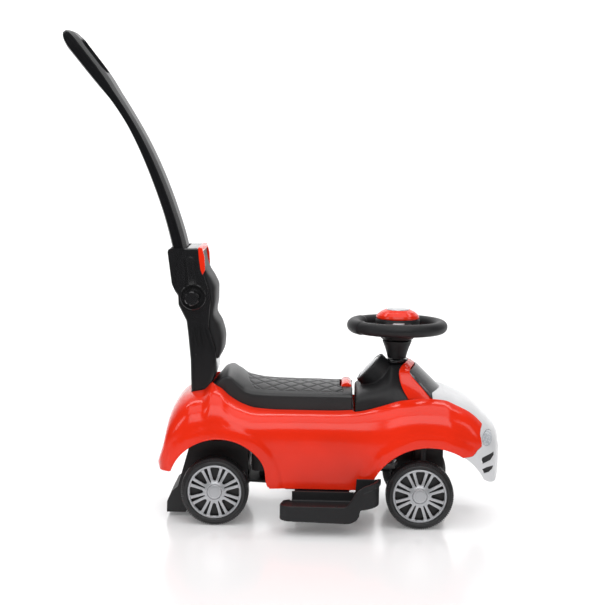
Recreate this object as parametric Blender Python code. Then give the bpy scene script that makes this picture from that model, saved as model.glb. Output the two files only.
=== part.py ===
"""A foot-to-floor ride-on car with a parent's push handle.

Everything is modelled in a car frame whose x = 0 is the rear axle, +X the nose and z = 0 the floor.
One empty carries the whole car, so that the finished object stands over its own origin.
"""

import math

import bmesh
import bpy
from mathutils import Matrix, Vector

# Running gear
WHEEL_RADIUS = 0.060
TYRE_WIDTH = 0.036
RIM_RADIUS = 0.0478
WHEELBASE = 0.362
TRACK = 0.207
AXLE_RADIUS = 0.0040
KINGPIN_RADIUS = 0.0040
KINGPIN_Y = 0.062
STEER_ARM = 0.042
GAP = 0.0003
RUNNING_GAP = 0.0005

# Body
WALL = 0.003
REAR_OVERHANG = 0.103
NOSE_OVERHANG = 0.145
FENDER_CLEARANCE = 0.0095
WAIST_TUCK = 0.012
WAIST_Z = 0.130
SILL_Z = 0.068
DECK_Z = 0.206
REAR_DECK_Z = 0.232
HOOD_Z = 0.239
ARCH_LIP = 0.021
LIP_PROUD = 0.0022
REAR_ARCH_RADIUS = 0.091
FRONT_ARCH_RADIUS = 0.1085
HOOD_HALF_WIDTH = 0.0885

# Seat
SEAT_HALF_WIDTH = 0.080
SEAT_REAR_X = -0.0110
SEAT_TO_AXLE = 0.1215
SEAT_TOP_Z = 0.2430
SEAT_HUMP_Z = 0.2665
LID_PIVOT = (0.0120, 0.2470)
LID_PIN_RADIUS = 0.0025
CATCH_HALF_LENGTH = 0.036
CATCH_RADIUS = 0.0100

# Backrest and handle
POST_HALF_WIDTH = 0.058
POST_WALL = 0.004
PAD_HALF_WIDTH = 0.052
PAD_FOOT_Z = 0.286
PAD_TOP_Z = 0.478
HANDLE_WIDTH = 0.104
HANDLE_DEPTH = 0.0285
LOOP_WIDTH = 0.118
LOOP_HEIGHT = 0.073
LOOP_RIM = 0.028
HANDLE_FOOT = (-0.0491, 0.3834)
HANDLE_SEAT_ANGLE = 14.0
HANDLE_LENGTH = 0.540
HANDLE_REACH = 0.2855
KNOB_AT = (-0.0465, 0.3980)
BOLT_RADIUS = 0.0045
KNOB_WELL_RADIUS = 0.0205
TRIM_BRIDGE_Z = 0.4790

# Steering
COLUMN_SETBACK = 0.0418
RING_RADIUS = 0.0789
RING_TUBE = 0.0118
RING_Z = 0.3466
ROD_RADIUS = 0.0050
ARM_Z = 0.0930
PLATE_Z = 0.0850
PLATE_THICK = 0.0040
PIN_RADIUS = 0.0030

# Dashboard and chassis
DASH_CLEARANCE = 0.0050
DASH_HALF_WIDTH = 0.0870
POST_REAR_X = -0.048
POST_FRONT_X = -0.016
CARRIER_HALF_WIDTH = 0.062
CARRIER_TOP_Z = 0.139
AXLE_Z = WHEEL_RADIUS

SCREEN_TOP_Z = 0.2796
SCREEN_FOOT_Z = 0.2376
SCREEN_HALF_WIDTH = 0.0745
SCREEN_THICK = 0.0024
FRAME_THICK = 0.0045
POD_AHEAD = 0.0245
POD_Z = 0.2715
POD_TILT = math.radians(47)
POD_RADIUS = 0.0325
BEZEL_WALL = 0.0032
CHASSIS_Z = 0.112

# Footrests
REST_WIDTH = 0.0585
REST_TUCK = 0.0025
REST_REAR_X = 0.117
REST_BEND_X = 0.228
REST_FRONT_X = 0.290
REST_FLOOR_Z = 0.050
REST_WALL = 0.0035
TOE_FOOT_Z = 0.0470
TOE_LIP = 0.0030

# How finely round things are divided
TYRE_STEPS = 24
RIM_STEPS = 24
ARC_POINTS = 6

# Sizes that follow from those above
WHEEL_Y = TRACK / 2
FENDER_HALF_WIDTH = WHEEL_Y + TYRE_WIDTH / 2 + FENDER_CLEARANCE
WAIST_HALF_WIDTH = FENDER_HALF_WIDTH - WAIST_TUCK
FRONT_X = WHEELBASE
NOSE_X = FRONT_X + NOSE_OVERHANG
COLUMN_X = FRONT_X - COLUMN_SETBACK
HOOD_REAR_X = FRONT_X + 0.020
HOOD_PANEL_FRONT_X = NOSE_X - 0.0350
SEAT_FRONT_X = FRONT_X - SEAT_TO_AXLE
DASH_REAR_X = SEAT_FRONT_X + DASH_CLEARANCE
POD_CENTRE = (DASH_REAR_X + POD_AHEAD, 0.0, POD_Z)
REST_INNER_Y = FENDER_HALF_WIDTH - REST_TUCK
REST_OUTER_Y = REST_INNER_Y + REST_WIDTH
TRAY_FRONT_X = FRONT_X - 0.094
CATCH_X = SEAT_FRONT_X - CATCH_RADIUS - 0.0010


def smooth_curve(points):
    """A curve that passes through the points and never overshoots between them."""
    xs = [p[0] for p in points]
    ys = [p[1] for p in points]
    steps = [(ys[i + 1] - ys[i]) / (xs[i + 1] - xs[i]) for i in range(len(xs) - 1)]
    slopes = [steps[0]]
    for before, after in zip(steps, steps[1:]):
        level = before * after <= 0
        slopes.append(0.0 if level else 2 * before * after / (before + after))
    slopes.append(steps[-1])

    def value(x):
        x = min(max(x, xs[0]), xs[-1])
        i = max(k for k in range(len(xs) - 1) if xs[k] <= x)
        h = xs[i + 1] - xs[i]
        t = (x - xs[i]) / h
        return (
            ys[i] * (1 + 2 * t) * (1 - t) ** 2
            + ys[i + 1] * t * t * (3 - 2 * t)
            + slopes[i] * h * t * (1 - t) ** 2
            - slopes[i + 1] * h * t * t * (1 - t)
        )

    return value


def straight_curve(points):
    """A line through the points, read at x."""

    def value(x):
        for (x0, y0), (x1, y1) in zip(points, points[1:]):
            if x <= x1:
                break
        return y0 + (y1 - y0) * min(max((x - x0) / (x1 - x0), 0.0), 1.0)

    return value


# Scene, materials and object helpers

def clear_scene():
    for obj in list(bpy.data.objects):
        bpy.data.objects.remove(obj, do_unlink=True)


def finish(name, colour, roughness, metallic=0.0):
    made = bpy.data.materials.new(name)
    made.use_nodes = True
    shader = made.node_tree.nodes["Principled BSDF"]
    shader.inputs["Base Color"].default_value = (*colour, 1.0)
    shader.inputs["Roughness"].default_value = roughness
    shader.inputs["Metallic"].default_value = metallic
    return made


clear_scene()

RED = (0.80, 0.045, 0.012)
BLACK = (0.018, 0.018, 0.020)
GREY = (0.045, 0.045, 0.048)
SILVER = (0.42, 0.43, 0.45)


def red_gloss(name):
    return finish(name, RED, 0.22)


def white_gloss(name):
    return finish(name, (0.86, 0.86, 0.87), 0.22)


def black_gloss(name):
    return finish(name, BLACK, 0.18)


def black_satin(name):
    return finish(name, GREY, 0.48)


def silver_paint(name):
    return finish(name, SILVER, 0.35)


def steel(name):
    return finish(name, (0.60, 0.60, 0.62), 0.30, 1.0)


def clear_lens(name):
    return finish(name, (0.80, 0.82, 0.85), 0.08)


def empty(name, at, parent=None):
    made = bpy.data.objects.new(name, None)
    made.location = at
    made.parent = parent
    bpy.context.collection.objects.link(made)
    return made


CAR = empty("car", ((HANDLE_REACH - NOSE_X) / 2, 0, 0))


def add(name, bm, paint=None, pivot=None, smooth=True):
    """Make an object of a mesh drawn in the car frame; with a pivot, its origin moves there."""
    bmesh.ops.remove_doubles(bm, verts=bm.verts, dist=1e-6)
    bmesh.ops.recalc_face_normals(bm, faces=bm.faces)
    if bm.calc_volume(signed=True) < 0:
        bmesh.ops.reverse_faces(bm, faces=bm.faces)
    origin = Vector(pivot.location) if pivot else Vector((0, 0, 0))
    bmesh.ops.translate(bm, verts=bm.verts, vec=-origin)
    mesh = bpy.data.meshes.new(name)
    bm.to_mesh(mesh)
    bm.free()
    made = bpy.data.objects.new(name, mesh)
    bpy.context.collection.objects.link(made)
    made.parent = pivot or CAR
    if paint:
        mesh.materials.append(paint(name))
    if smooth:
        mesh.shade_smooth()
        mesh.set_sharp_from_angle(angle=math.radians(32))
    return made


def tool(name, bm, pivot=None):
    """A solid that only cuts or joins others."""
    made = add(name, bm, None, pivot, smooth=False)
    made.hide_render = True
    made.display_type = "WIRE"
    return made


def combine(obj, other, operation="DIFFERENCE"):
    change = obj.modifiers.new(other.name, "BOOLEAN")
    change.operation = operation
    change.solver = "EXACT"
    change.object = other
    return obj


# Shape helpers: each returns a bmesh in the car frame

def loft(rings):
    """Join closed rings that have the same number of points, and cap both ends."""
    bm = bmesh.new()
    rows = [[bm.verts.new(p) for p in ring] for ring in rings]
    for a, b in zip(rows, rows[1:]):
        for i in range(len(a)):
            j = (i + 1) % len(a)
            bm.faces.new((a[i], a[j], b[j], b[i]))
    bm.faces.new(rows[0])
    bm.faces.new(list(reversed(rows[-1])))
    return bm


def prism(outline, axis, low, high):
    """Extrude a flat outline along X, Y or Z between two values."""

    def point(p, v):
        if axis == "X":
            return (v, p[0], p[1])
        if axis == "Y":
            return (p[0], v, p[1])
        return (p[0], p[1], v)

    return loft([[point(p, low) for p in outline], [point(p, high) for p in outline]])


def box(low, high):
    corners = [(low[0], low[1]), (high[0], low[1]), (high[0], high[1]), (low[0], high[1])]
    return prism(corners, "Z", low[2], high[2])


def turned(profile, at, direction, steps):
    """Turn a closed (radius, height) outline about a line through `at`."""
    rings = []
    for k in range(steps):
        a = 2 * math.pi * k / steps
        rings.append([(r * math.cos(a), r * math.sin(a), h) for r, h in profile])
    bm = bmesh.new()
    rows = [[bm.verts.new(p) for p in ring] for ring in rings]
    for k in range(steps):
        a, b = rows[k], rows[(k + 1) % steps]
        for i in range(len(profile)):
            j = (i + 1) % len(profile)
            bm.faces.new((a[i], a[j], b[j], b[i]))
    bmesh.ops.remove_doubles(bm, verts=bm.verts, dist=1e-6)
    turn = Vector((0, 0, 1)).rotation_difference(Vector(direction)).to_matrix().to_4x4()
    bmesh.ops.transform(bm, matrix=Matrix.Translation(Vector(at)) @ turn, verts=bm.verts)
    return bm


def rod(start, end, radius, steps=16, end_radius=None):
    line = Vector(end) - Vector(start)
    far = radius if end_radius is None else end_radius
    turn = Vector((0, 0, 1)).rotation_difference(line).to_matrix()
    rings = []
    for at, r in ((Vector(start), radius), (Vector(end), far)):
        spokes = [Vector((r * math.cos(a), r * math.sin(a), 0)) for a in circle_angles(steps)]
        rings.append([at + turn @ spoke for spoke in spokes])
    return loft(rings)


def circle_angles(steps):
    return [2 * math.pi * k / steps for k in range(steps)]


def circle(centre, radius, steps, squash=1.0):
    x, y = centre
    return [(x + radius * math.cos(a), y + radius * squash * math.sin(a)) for a in circle_angles(steps)]


def rounded(corners, radius, steps=3):
    """Round the corners of a convex or concave outline with arcs."""
    out = []
    count = len(corners)
    for i, (x, y) in enumerate(corners):
        r = radius[i] if isinstance(radius, (list, tuple)) else radius
        here = Vector((x, y))
        back = Vector(corners[i - 1]) - here
        on = Vector(corners[(i + 1) % count]) - here
        if r <= 0:
            out.append((x, y))
            continue
        half = back.angle(on) / 2
        reach = min(r / math.tan(half), back.length * 0.49, on.length * 0.49)
        start = here + back.normalized() * reach
        end = here + on.normalized() * reach
        for k in range(steps + 1):
            t = k / steps
            p = start * (1 - t) ** 2 + here * 2 * t * (1 - t) + end * t * t
            out.append((p.x, p.y))
    return out


def merged(*parts):
    """Put several meshes in one, as cutters that don't touch each other."""
    whole = bmesh.new()
    for bm in parts:
        spare = bpy.data.meshes.new("spare")
        bmesh.ops.recalc_face_normals(bm, faces=bm.faces)
        bm.to_mesh(spare)
        bm.free()
        whole.from_mesh(spare)
        bpy.data.meshes.remove(spare)
    return whole


def sweep(path, section_at):
    """Loft sections along a path in the XZ plane; section_at gives (across, out) pairs for each point."""
    rings = []
    for k, (x, z, tangent) in enumerate(path):
        out = Vector((math.cos(tangent), 0, math.sin(tangent)))
        rings.append([Vector((x, 0, z)) + out * o + Vector((0, a, 0)) for a, o in section_at(k)])
    return loft(rings)


def bent_tube(points, radius, sides=10, bend=0.010):
    """A round bar through the points, with its corners bent."""
    route = []
    for i, p in enumerate(points):
        p = Vector(p)
        if i in (0, len(points) - 1):
            route.append(p)
            continue
        back = Vector(points[i - 1]) - p
        on = Vector(points[i + 1]) - p
        start = p + back.normalized() * bend
        end = p + on.normalized() * bend
        for k in range(5):
            t = k / 4
            route.append(start * (1 - t) ** 2 + p * 2 * t * (1 - t) + end * t * t)
    rings = []
    side = Vector((0, 1, 0))
    for i, p in enumerate(route):
        before = route[max(i - 1, 0)]
        after = route[min(i + 1, len(route) - 1)]
        along = (after - before).normalized()
        up = along.cross(side).normalized()
        angles = circle_angles(sides)
        rings.append([p + side * radius * math.cos(a) + up * radius * math.sin(a) for a in angles])
    return loft(rings)


# Body surface: the moulded outer form of the whole car, given by its cross-sections

HALF_WIDTH = smooth_curve([
    (-REAR_OVERHANG, FENDER_HALF_WIDTH - 0.046),
    (-REAR_OVERHANG + 0.003, FENDER_HALF_WIDTH - 0.031),
    (-REAR_OVERHANG + 0.010, FENDER_HALF_WIDTH - 0.019),
    (-0.078, FENDER_HALF_WIDTH - 0.009),
    (-0.045, FENDER_HALF_WIDTH - 0.001),
    (0.000, FENDER_HALF_WIDTH),
    (0.055, FENDER_HALF_WIDTH - 0.001),
    (0.115, WAIST_HALF_WIDTH + 0.001),
    (0.180, WAIST_HALF_WIDTH),
    (FRONT_X - 0.105, WAIST_HALF_WIDTH + 0.002),
    (FRONT_X - 0.050, FENDER_HALF_WIDTH - 0.001),
    (FRONT_X, FENDER_HALF_WIDTH),
    (FRONT_X + 0.050, FENDER_HALF_WIDTH - 0.001),
    (NOSE_X - 0.0730, FENDER_HALF_WIDTH - 0.005),
    (NOSE_X - 0.0530, FENDER_HALF_WIDTH - 0.011),
    (NOSE_X - 0.0380, FENDER_HALF_WIDTH - 0.019),
    (NOSE_X - 0.0230, FENDER_HALF_WIDTH - 0.032),
    (NOSE_X - 0.0120, FENDER_HALF_WIDTH - 0.047),
    (NOSE_X - 0.0045, FENDER_HALF_WIDTH - 0.068),
    (NOSE_X, FENDER_HALF_WIDTH - 0.100),
])

TOP = smooth_curve([
    (-REAR_OVERHANG, 0.112),
    (-REAR_OVERHANG + 0.004, 0.128),
    (-REAR_OVERHANG + 0.010, 0.152),
    (-0.088, 0.180),
    (-0.078, 0.203),
    (-0.064, REAR_DECK_Z - 0.012),
    (-0.045, REAR_DECK_Z - 0.002),
    (-0.025, REAR_DECK_Z + 0.002),
    (-0.009, REAR_DECK_Z + 0.016),
    (0.006, REAR_DECK_Z + 0.012),
    (0.024, REAR_DECK_Z - 0.003),
    (0.045, DECK_Z + 0.010),
    (0.070, DECK_Z + 0.002),
    (0.110, DECK_Z),
    (0.200, DECK_Z),
    (FRONT_X - 0.119, DECK_Z + 0.003),
    (FRONT_X - 0.069, DECK_Z + 0.017),
    (FRONT_X - 0.033, HOOD_Z - 0.005),
    (FRONT_X + 0.018, HOOD_Z),
    (FRONT_X + 0.040, HOOD_Z - 0.001),
    (NOSE_X - 0.0860, HOOD_Z - 0.008),
    (NOSE_X - 0.0580, HOOD_Z - 0.020),
    (NOSE_X - 0.0360, HOOD_Z - 0.037),
    (NOSE_X - 0.0190, HOOD_Z - 0.055),
    (NOSE_X - 0.0048, HOOD_Z - 0.073),
    (NOSE_X - 0.0012, HOOD_Z - 0.094),
    (NOSE_X, HOOD_Z - 0.107),
])

BOTTOM = smooth_curve([
    (-REAR_OVERHANG, 0.100),
    (-REAR_OVERHANG + 0.006, 0.095),
    (-0.070, 0.095),
    (0.050, SILL_Z),
    (FRONT_X - 0.080, SILL_Z),
    (FRONT_X, 0.100),
    (NOSE_X - 0.0400, 0.0930),
    (NOSE_X - 0.0200, 0.0830),
    (NOSE_X - 0.0105, 0.0815),
    (NOSE_X - 0.0055, 0.0870),
    (NOSE_X - 0.0022, 0.0980),
    (NOSE_X, 0.1130),
])

SHOULDER = smooth_curve([
    (-REAR_OVERHANG, 2.6),
    (-0.045, 3.0),
    (0.070, 4.2),
    (0.200, 4.4),
    (FRONT_X - 0.069, 3.4),
    (FRONT_X, 2.9),
    (NOSE_X, 2.5),
])

def body_section(x, grow=0.0, drop=0.0):
    """One closed cross-section of the body at x, grown outwards and dropped below by so much."""
    half = max(HALF_WIDTH(x) + grow, 0.002)
    bottom = BOTTOM(x)
    top = TOP(x)
    waist = bottom + min(WAIST_Z - SILL_Z, 0.45 * (top - bottom))
    power = 2.0 / SHOULDER(x)
    side = [(half - 0.004, bottom - drop), (half, waist)]
    for k in range(1, ARC_POINTS + 1):
        a = math.pi / 2 * k / ARC_POINTS
        across = half * max(math.cos(a), 0.0) ** power
        height = waist + (top + grow - waist) * math.sin(a) ** power
        side.append((across, height))
    side[-1] = (0.0, top + grow)
    return side


def body_stations():
    xs = [-REAR_OVERHANG + d for d in (0.0, 0.0015, 0.004, 0.009, 0.016, 0.026)]
    xs += [-0.062, -0.045, -0.025, -0.009, 0.006, 0.024, 0.045, 0.070, 0.110, 0.180]
    xs += [FRONT_X + d for d in (-0.119, -0.090, -0.060, -0.033, 0.0, 0.030, 0.055)]
    xs += [NOSE_X - d for d in (0.073, 0.054, 0.038, 0.025, 0.0155, 0.009, 0.0045, 0.0015, 0.0)]
    return xs


def body_solid(grow=0.0, drop=0.0, stations=None):
    """The closed outer form of the body, grown by a distance on every side."""
    middle = (NOSE_X - REAR_OVERHANG) / 2
    length = NOSE_X + REAR_OVERHANG
    rings = []
    for x in stations or body_stations():
        at = middle + (x - middle) * (length + 2 * grow) / length
        half = body_section(x, grow, drop)
        left = [(at, y, z) for y, z in half]
        right = [(at, -y, z) for y, z in reversed(half[:-1])]
        rings.append(left + right)
    return loft(rings)


def wheel_arch(axle_x, radius, centre_x, centre_z, tuck, grow, depth):
    """A wheel arch's outline pushed through the body; its front edge tucks in above the sill."""
    arc = []
    for k in range(17):
        a = math.pi * k / 16
        low = max(0.0, 1 - a / math.radians(35)) ** 1.5
        foot = max(0.0, 1 - a / math.radians(16)) ** 2
        x = axle_x + centre_x + (radius + grow) * math.cos(a) - tuck * low * (1 - foot)
        arc.append((x, centre_z + (radius + grow) * math.sin(a)))
    arc += [(axle_x + centre_x - radius - grow, 0.0), (arc[0][0], 0.0)]
    return prism(arc, "Y", -depth, depth)


REAR_ARCH = (0.0, REAR_ARCH_RADIUS, 0.007, 0.067, 0.010)
FRONT_ARCH = (FRONT_X, FRONT_ARCH_RADIUS, 0.015, 0.042, 0.0)


def nose_outline(gap):
    """The white nose's border as seen from the side: everything ahead of it is white."""
    edge = [
        (NOSE_X - 0.0363, 0.300),
        (NOSE_X - 0.0363, 0.1875),
        (NOSE_X - 0.0425, 0.1745),
        (NOSE_X - 0.0382, 0.1580),
        (NOSE_X - 0.0377, 0.1500),
        (NOSE_X - 0.0445, 0.1455),
        (NOSE_X - 0.0500, 0.1380),
        (NOSE_X - 0.0550, 0.1330),
        (NOSE_X - 0.0740, 0.1315),
        (NOSE_X - 0.0880, 0.1315),
        (NOSE_X - 0.0880, 0.0200),
    ]
    moved = [(x - gap, z + (gap if z < 0.15 else 0)) for x, z in edge]
    return moved + [(NOSE_X + 0.05, 0.020), (NOSE_X + 0.05, 0.300)]


def build_body():
    cavity = body_solid(-WALL, 0.02)
    lip_form = tool("lip_form", body_solid(LIP_PROUD))
    rings = [wheel_arch(*arch, ARCH_LIP, 0.20) for arch in (REAR_ARCH, FRONT_ARCH)]
    combine(lip_form, tool("lip_rings", merged(*rings)), "INTERSECT")
    lip_side = box((-0.2, -0.095, 0.0), (0.6, 0.095, 0.3))
    combine(lip_form, tool("lip_inside", lip_side))

    body = add("body_shell", body_solid(), red_gloss)
    combine(body, lip_form, "UNION")
    combine(body, tool("body_cavity", cavity))
    wells = tool("wheel_wells", merged(*[wheel_arch(*arch, 0.0, 0.21) for arch in (REAR_ARCH, FRONT_ARCH)]))
    combine(body, wells)
    combine(body, tool("body_nose_cut", prism(nose_outline(GAP), "Y", -0.2, 0.2)))
    seat_side = SEAT_HALF_WIDTH + RUNNING_GAP
    hood_side = HOOD_HALF_WIDTH + GAP
    well = [(SEAT_REAR_X - RUNNING_GAP, SEAT_PLAN_CURVE(SEAT_REAR_X))]
    for d in SEAT_STATIONS[:6]:
        well.append((SEAT_REAR_X + d - RUNNING_GAP, SEAT_PLAN_CURVE(SEAT_REAR_X + d) + RUNNING_GAP))
    well += [
        (SEAT_FRONT_X + GAP, seat_side),
        (DASH_REAR_X - GAP - 0.001, hood_side),
        (HOOD_PANEL_FRONT_X + 0.0010, hood_side),
    ]
    plan = well + [(x, -y) for x, y in reversed(well)]
    combine(body, tool("body_opening", prism(plan, "Z", 0.150, 0.40)))
    post = [
        (POST_REAR_X - GAP, 0.190),
        (POST_FRONT_X + GAP, 0.190),
        (POST_FRONT_X + GAP, 0.2258),
        (-0.0125 + GAP, 0.2388),
        (-0.0050 + GAP, 0.2600),
        (POST_REAR_X - GAP, 0.2600),
    ]
    combine(body, tool("post_hole", prism(post, "Y", -POST_HALF_WIDTH - GAP, POST_HALF_WIDTH + GAP)))
    return wells


def build_nose(wells):
    nose = add("nose_cover", body_solid(), white_gloss)
    combine(nose, tool("nose_cavity", body_solid(-WALL, 0.02)))
    border = tool("nose_border", prism(nose_outline(0.0), "Y", -0.2, 0.2))
    inner = box((HOOD_REAR_X, -HOOD_HALF_WIDTH, 0.10), (HOOD_PANEL_FRONT_X, HOOD_HALF_WIDTH, 0.40))
    combine(border, tool("hood_panel", inner), "UNION")
    combine(nose, border, "INTERSECT")
    combine(nose, wells)
    return nose


# Lamps and grilles: windows in the nose with inserts that follow its surface

def grille_outline(upper, shrink):
    if upper:
        corners = [
            (NOSE_X - 0.0381, 0.1250),
            (NOSE_X - 0.0370, 0.1300),
            (NOSE_X - 0.0145, 0.1370),
            (NOSE_X - 0.0140, 0.1318),
            (NOSE_X - 0.0210, 0.1228),
            (NOSE_X - 0.0358, 0.1188),
        ]
    else:
        corners = [
            (NOSE_X - 0.0370, 0.1090),
            (NOSE_X - 0.0275, 0.1118),
            (NOSE_X - 0.0140, 0.1118),
            (NOSE_X - 0.0160, 0.1063),
            (NOSE_X - 0.0235, 0.1020),
            (NOSE_X - 0.0325, 0.1008),
        ]
    cx = sum(p[0] for p in corners) / len(corners)
    cz = sum(p[1] for p in corners) / len(corners)
    scale = 1 - shrink / 0.008
    return [(cx + (x - cx) * scale, cz + (z - cz) * scale) for x, z in corners]


def lamp_outline(shrink):
    centre = (NOSE_X - 0.0275, 0.1628)
    return circle(centre, 0.0100 - shrink, 12, 1.3)


def insert(name, outline, side, outer, inner, paint):
    """A thin lens or grille cut from a layer of the body's own form."""
    piece = add(name, body_solid(outer, stations=nose_stations()), paint)
    combine(piece, tool(name + "_back", body_solid(inner, 0.02, nose_stations())))
    near = 0.055 * side
    far = 0.150 * side
    combine(piece, tool(name + "_edge", prism(outline, "Y", near, far)), "INTERSECT")
    return piece


def nose_stations():
    ahead = (0.054, 0.046, 0.038, 0.031, 0.025, 0.019, 0.0155, 0.009, 0.0)
    return [-REAR_OVERHANG] + [NOSE_X - d for d in ahead]


def build_lamps(nose):
    fit = RUNNING_GAP
    windows = []
    for side, tag in ((-1, "right"), (1, "left")):
        for outline in (grille_outline(True, 0), grille_outline(False, 0), lamp_outline(0)):
            windows.append(prism(outline, "Y", 0.055 * side, 0.150 * side))
        insert("headlight_" + tag, lamp_outline(fit), side, 0.0015, -0.0020, clear_lens)
        for upper, level in ((True, "upper"), (False, "lower")):
            name = "grille_" + level + "_" + tag
            insert(name, grille_outline(upper, fit), side, -0.0008, -0.0030, black_satin)
    combine(nose, tool("nose_windows", merged(*windows)))


# Windshield, its red frame and the dashboard

def build_windshield(nose):
    """A bowed screen; the hood's rear edge is cut back along its surface."""
    rings, cuts = [], []
    for k in range(9):
        y = SCREEN_HALF_WIDTH * (k - 4) / 4
        bow = (y / SCREEN_HALF_WIDTH) ** 2
        foot = Vector((FRONT_X + 0.0373 - 0.0170 * bow, y, SCREEN_FOOT_Z - 0.0085 * bow))
        head = Vector((FRONT_X - 0.0065 - 0.0170 * bow, y * 0.72, SCREEN_TOP_Z - 0.0081 * bow))
        down = (foot - head).normalized()
        out = Vector((-down.z, 0, down.x)).normalized()
        rings.append([foot, head, head - out * SCREEN_THICK, foot - out * SCREEN_THICK])
        aside = Vector((0, 0.0010 * (k - 4), 0))
        room = [foot + out * GAP + down * 0.02, head + out * GAP]
        room += [head - out * 0.02, foot - out * 0.02 + down * 0.02]
        cuts.append([p + aside for p in room])
    combine(nose, tool("screen_gap", loft(cuts)))
    return add("windshield", loft(rings), black_satin)


def build_frame():
    half = [
        (-0.0230, 0.0160, 0.0840, 0.2270, 0.2280),
        (-0.0340, 0.0020, 0.0800, 0.2450, 0.2460),
        (-0.0385, -0.0110, 0.0755, 0.2585, 0.2590),
        (-0.0405, -0.0215, 0.0690, 0.2725, 0.2715),
        (-0.0365, -0.0200, 0.0560, 0.2810, 0.2780),
        (-0.0275, -0.0145, 0.0330, 0.2855, 0.2805),
        (-0.0190, -0.0080, 0.0000, 0.2870, 0.2815),
    ]
    rings = []
    for side, rows in ((-1, half), (1, list(reversed(half[:-1])))):
        for rear, front, y, rear_z, front_z in rows:
            rings.append([
                (FRONT_X + rear, side * y, rear_z),
                (FRONT_X + front, side * y, front_z),
                (FRONT_X + front - 0.0030, side * max(y - FRAME_THICK, 0.0), front_z - FRAME_THICK),
                (FRONT_X + rear + 0.0010, side * max(y - FRAME_THICK, 0.0), rear_z - FRAME_THICK),
            ])
    frame = add("windshield_frame", loft(rings), red_gloss)
    return frame


def dash_ring(z, rear, front, half):
    corner = min(0.022, half * 0.6)
    plan = [(rear, -half), (front, -half), (front, half), (rear, half)]
    return [(x, y, z) for x, y in rounded(plan, [0.006, corner, corner, 0.006], 3)]


def build_dashboard():
    rows = [
        (0.2000, 0.0, 0.0980, DASH_HALF_WIDTH),
        (0.2220, 0.0, 0.0960, DASH_HALF_WIDTH - 0.0040),
        (0.2400, 0.0008, 0.0900, 0.0740),
        (0.2540, 0.0050, 0.0880, 0.0600),
        (0.2660, 0.0120, 0.0890, 0.0440),
        (0.2745, 0.0200, 0.0920, 0.0310),
        (0.2800, 0.0360, 0.0925, 0.0220),
    ]
    rings = [dash_ring(z, DASH_REAR_X + a, DASH_REAR_X + b, half) for z, a, b, half in rows]
    dash = add("dashboard", loft(rings), black_satin)
    face = Vector((-math.sin(POD_TILT), 0, math.cos(POD_TILT)))
    centre = Vector(POD_CENTRE)
    pod = rod(centre - face * 0.040, centre, POD_RADIUS * 1.02, 20, POD_RADIUS)
    combine(dash, tool("pod", pod), "UNION")
    recess = rod(centre - face * 0.006, centre + face * 0.01, POD_RADIUS - 0.0035, 20)
    combine(dash, tool("pod_recess", recess))
    inside = []
    for z, rear, front, half in rows[:4]:
        rear_x, front_x = DASH_REAR_X + rear + WALL, DASH_REAR_X + front - WALL
        inside.append(dash_ring(z - 0.003, rear_x, front_x, half - WALL))
    inside[0] = [(x, y, 0.190) for x, y, z in inside[0]]
    inside[-1] = [(x, y, 0.246) for x, y, z in inside[-1]]
    combine(dash, tool("dash_cavity", loft(inside)))
    bore = rod((COLUMN_X, 0, 0.18), (COLUMN_X, 0, 0.30), ROD_RADIUS + 0.0008, 16)
    combine(dash, tool("dash_bore", bore))
    seat = rod((COLUMN_X, 0, 0.2790), (COLUMN_X, 0, 0.34), 0.0205 + GAP, 20)
    combine(dash, tool("collar_seat", seat))
    radius = POD_RADIUS - 0.0035 - GAP
    bezel_out = [(radius, 0.0), (radius, 0.0052), (radius - 0.0022, 0.0068), (radius - BEZEL_WALL, 0.0045)]
    bezel_out += [(radius - BEZEL_WALL, 0.0)]
    at = centre - face * (0.006 - GAP)
    add("gauge_bezel", turned(bezel_out, at, face, 20), black_gloss)
    lens = radius - BEZEL_WALL - GAP
    add("gauge_dial", turned([(0, 0), (lens, 0), (lens, 0.0025), (0, 0.0035)], at, face, 20), clear_lens)
    collar = [
        (ROD_RADIUS + 0.0012, 0.2793),
        (0.0190, 0.2793),
        (0.0205, 0.2835),
        (0.0175, 0.2868),
        (ROD_RADIUS + 0.0012, 0.2868),
    ]
    add("column_collar", turned(collar, (COLUMN_X, 0, 0), (0, 0, 1), 18), black_satin)
    return dash


# Seat lid, its hinge pin, the catch in front of it and the storage tub below

def seat_section(x):
    """The lid's outer section at x: a crowned top, a crease and flat sides down to the rebate."""
    top = SEAT_TOP_CURVE(x)
    crease = SEAT_CREASE_CURVE(x)
    foot = SEAT_FOOT_CURVE(x)
    half = SEAT_PLAN_CURVE(x)
    flat = half - 0.008
    rows = [(half, foot), (half, crease - 0.004), (half - 0.0025, crease)]
    rows += [(flat * 0.84, crease + (top - crease) * 0.45), (flat * 0.55, crease + (top - crease) * 0.80)]
    rows += [(0.0, top)]
    return rows


SEAT_TOP_CURVE = smooth_curve([
    (SEAT_REAR_X, 0.2375),
    (SEAT_REAR_X + 0.009, 0.2485),
    (SEAT_REAR_X + 0.020, 0.2610),
    (SEAT_REAR_X + 0.031, SEAT_HUMP_Z),
    (SEAT_REAR_X + 0.046, SEAT_HUMP_Z - 0.004),
    (SEAT_REAR_X + 0.063, SEAT_HUMP_Z - 0.0145),
    (SEAT_REAR_X + 0.085, SEAT_TOP_Z + 0.0035),
    (SEAT_REAR_X + 0.120, SEAT_TOP_Z + 0.0005),
    (SEAT_FRONT_X, SEAT_TOP_Z - 0.0015),
])

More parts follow.
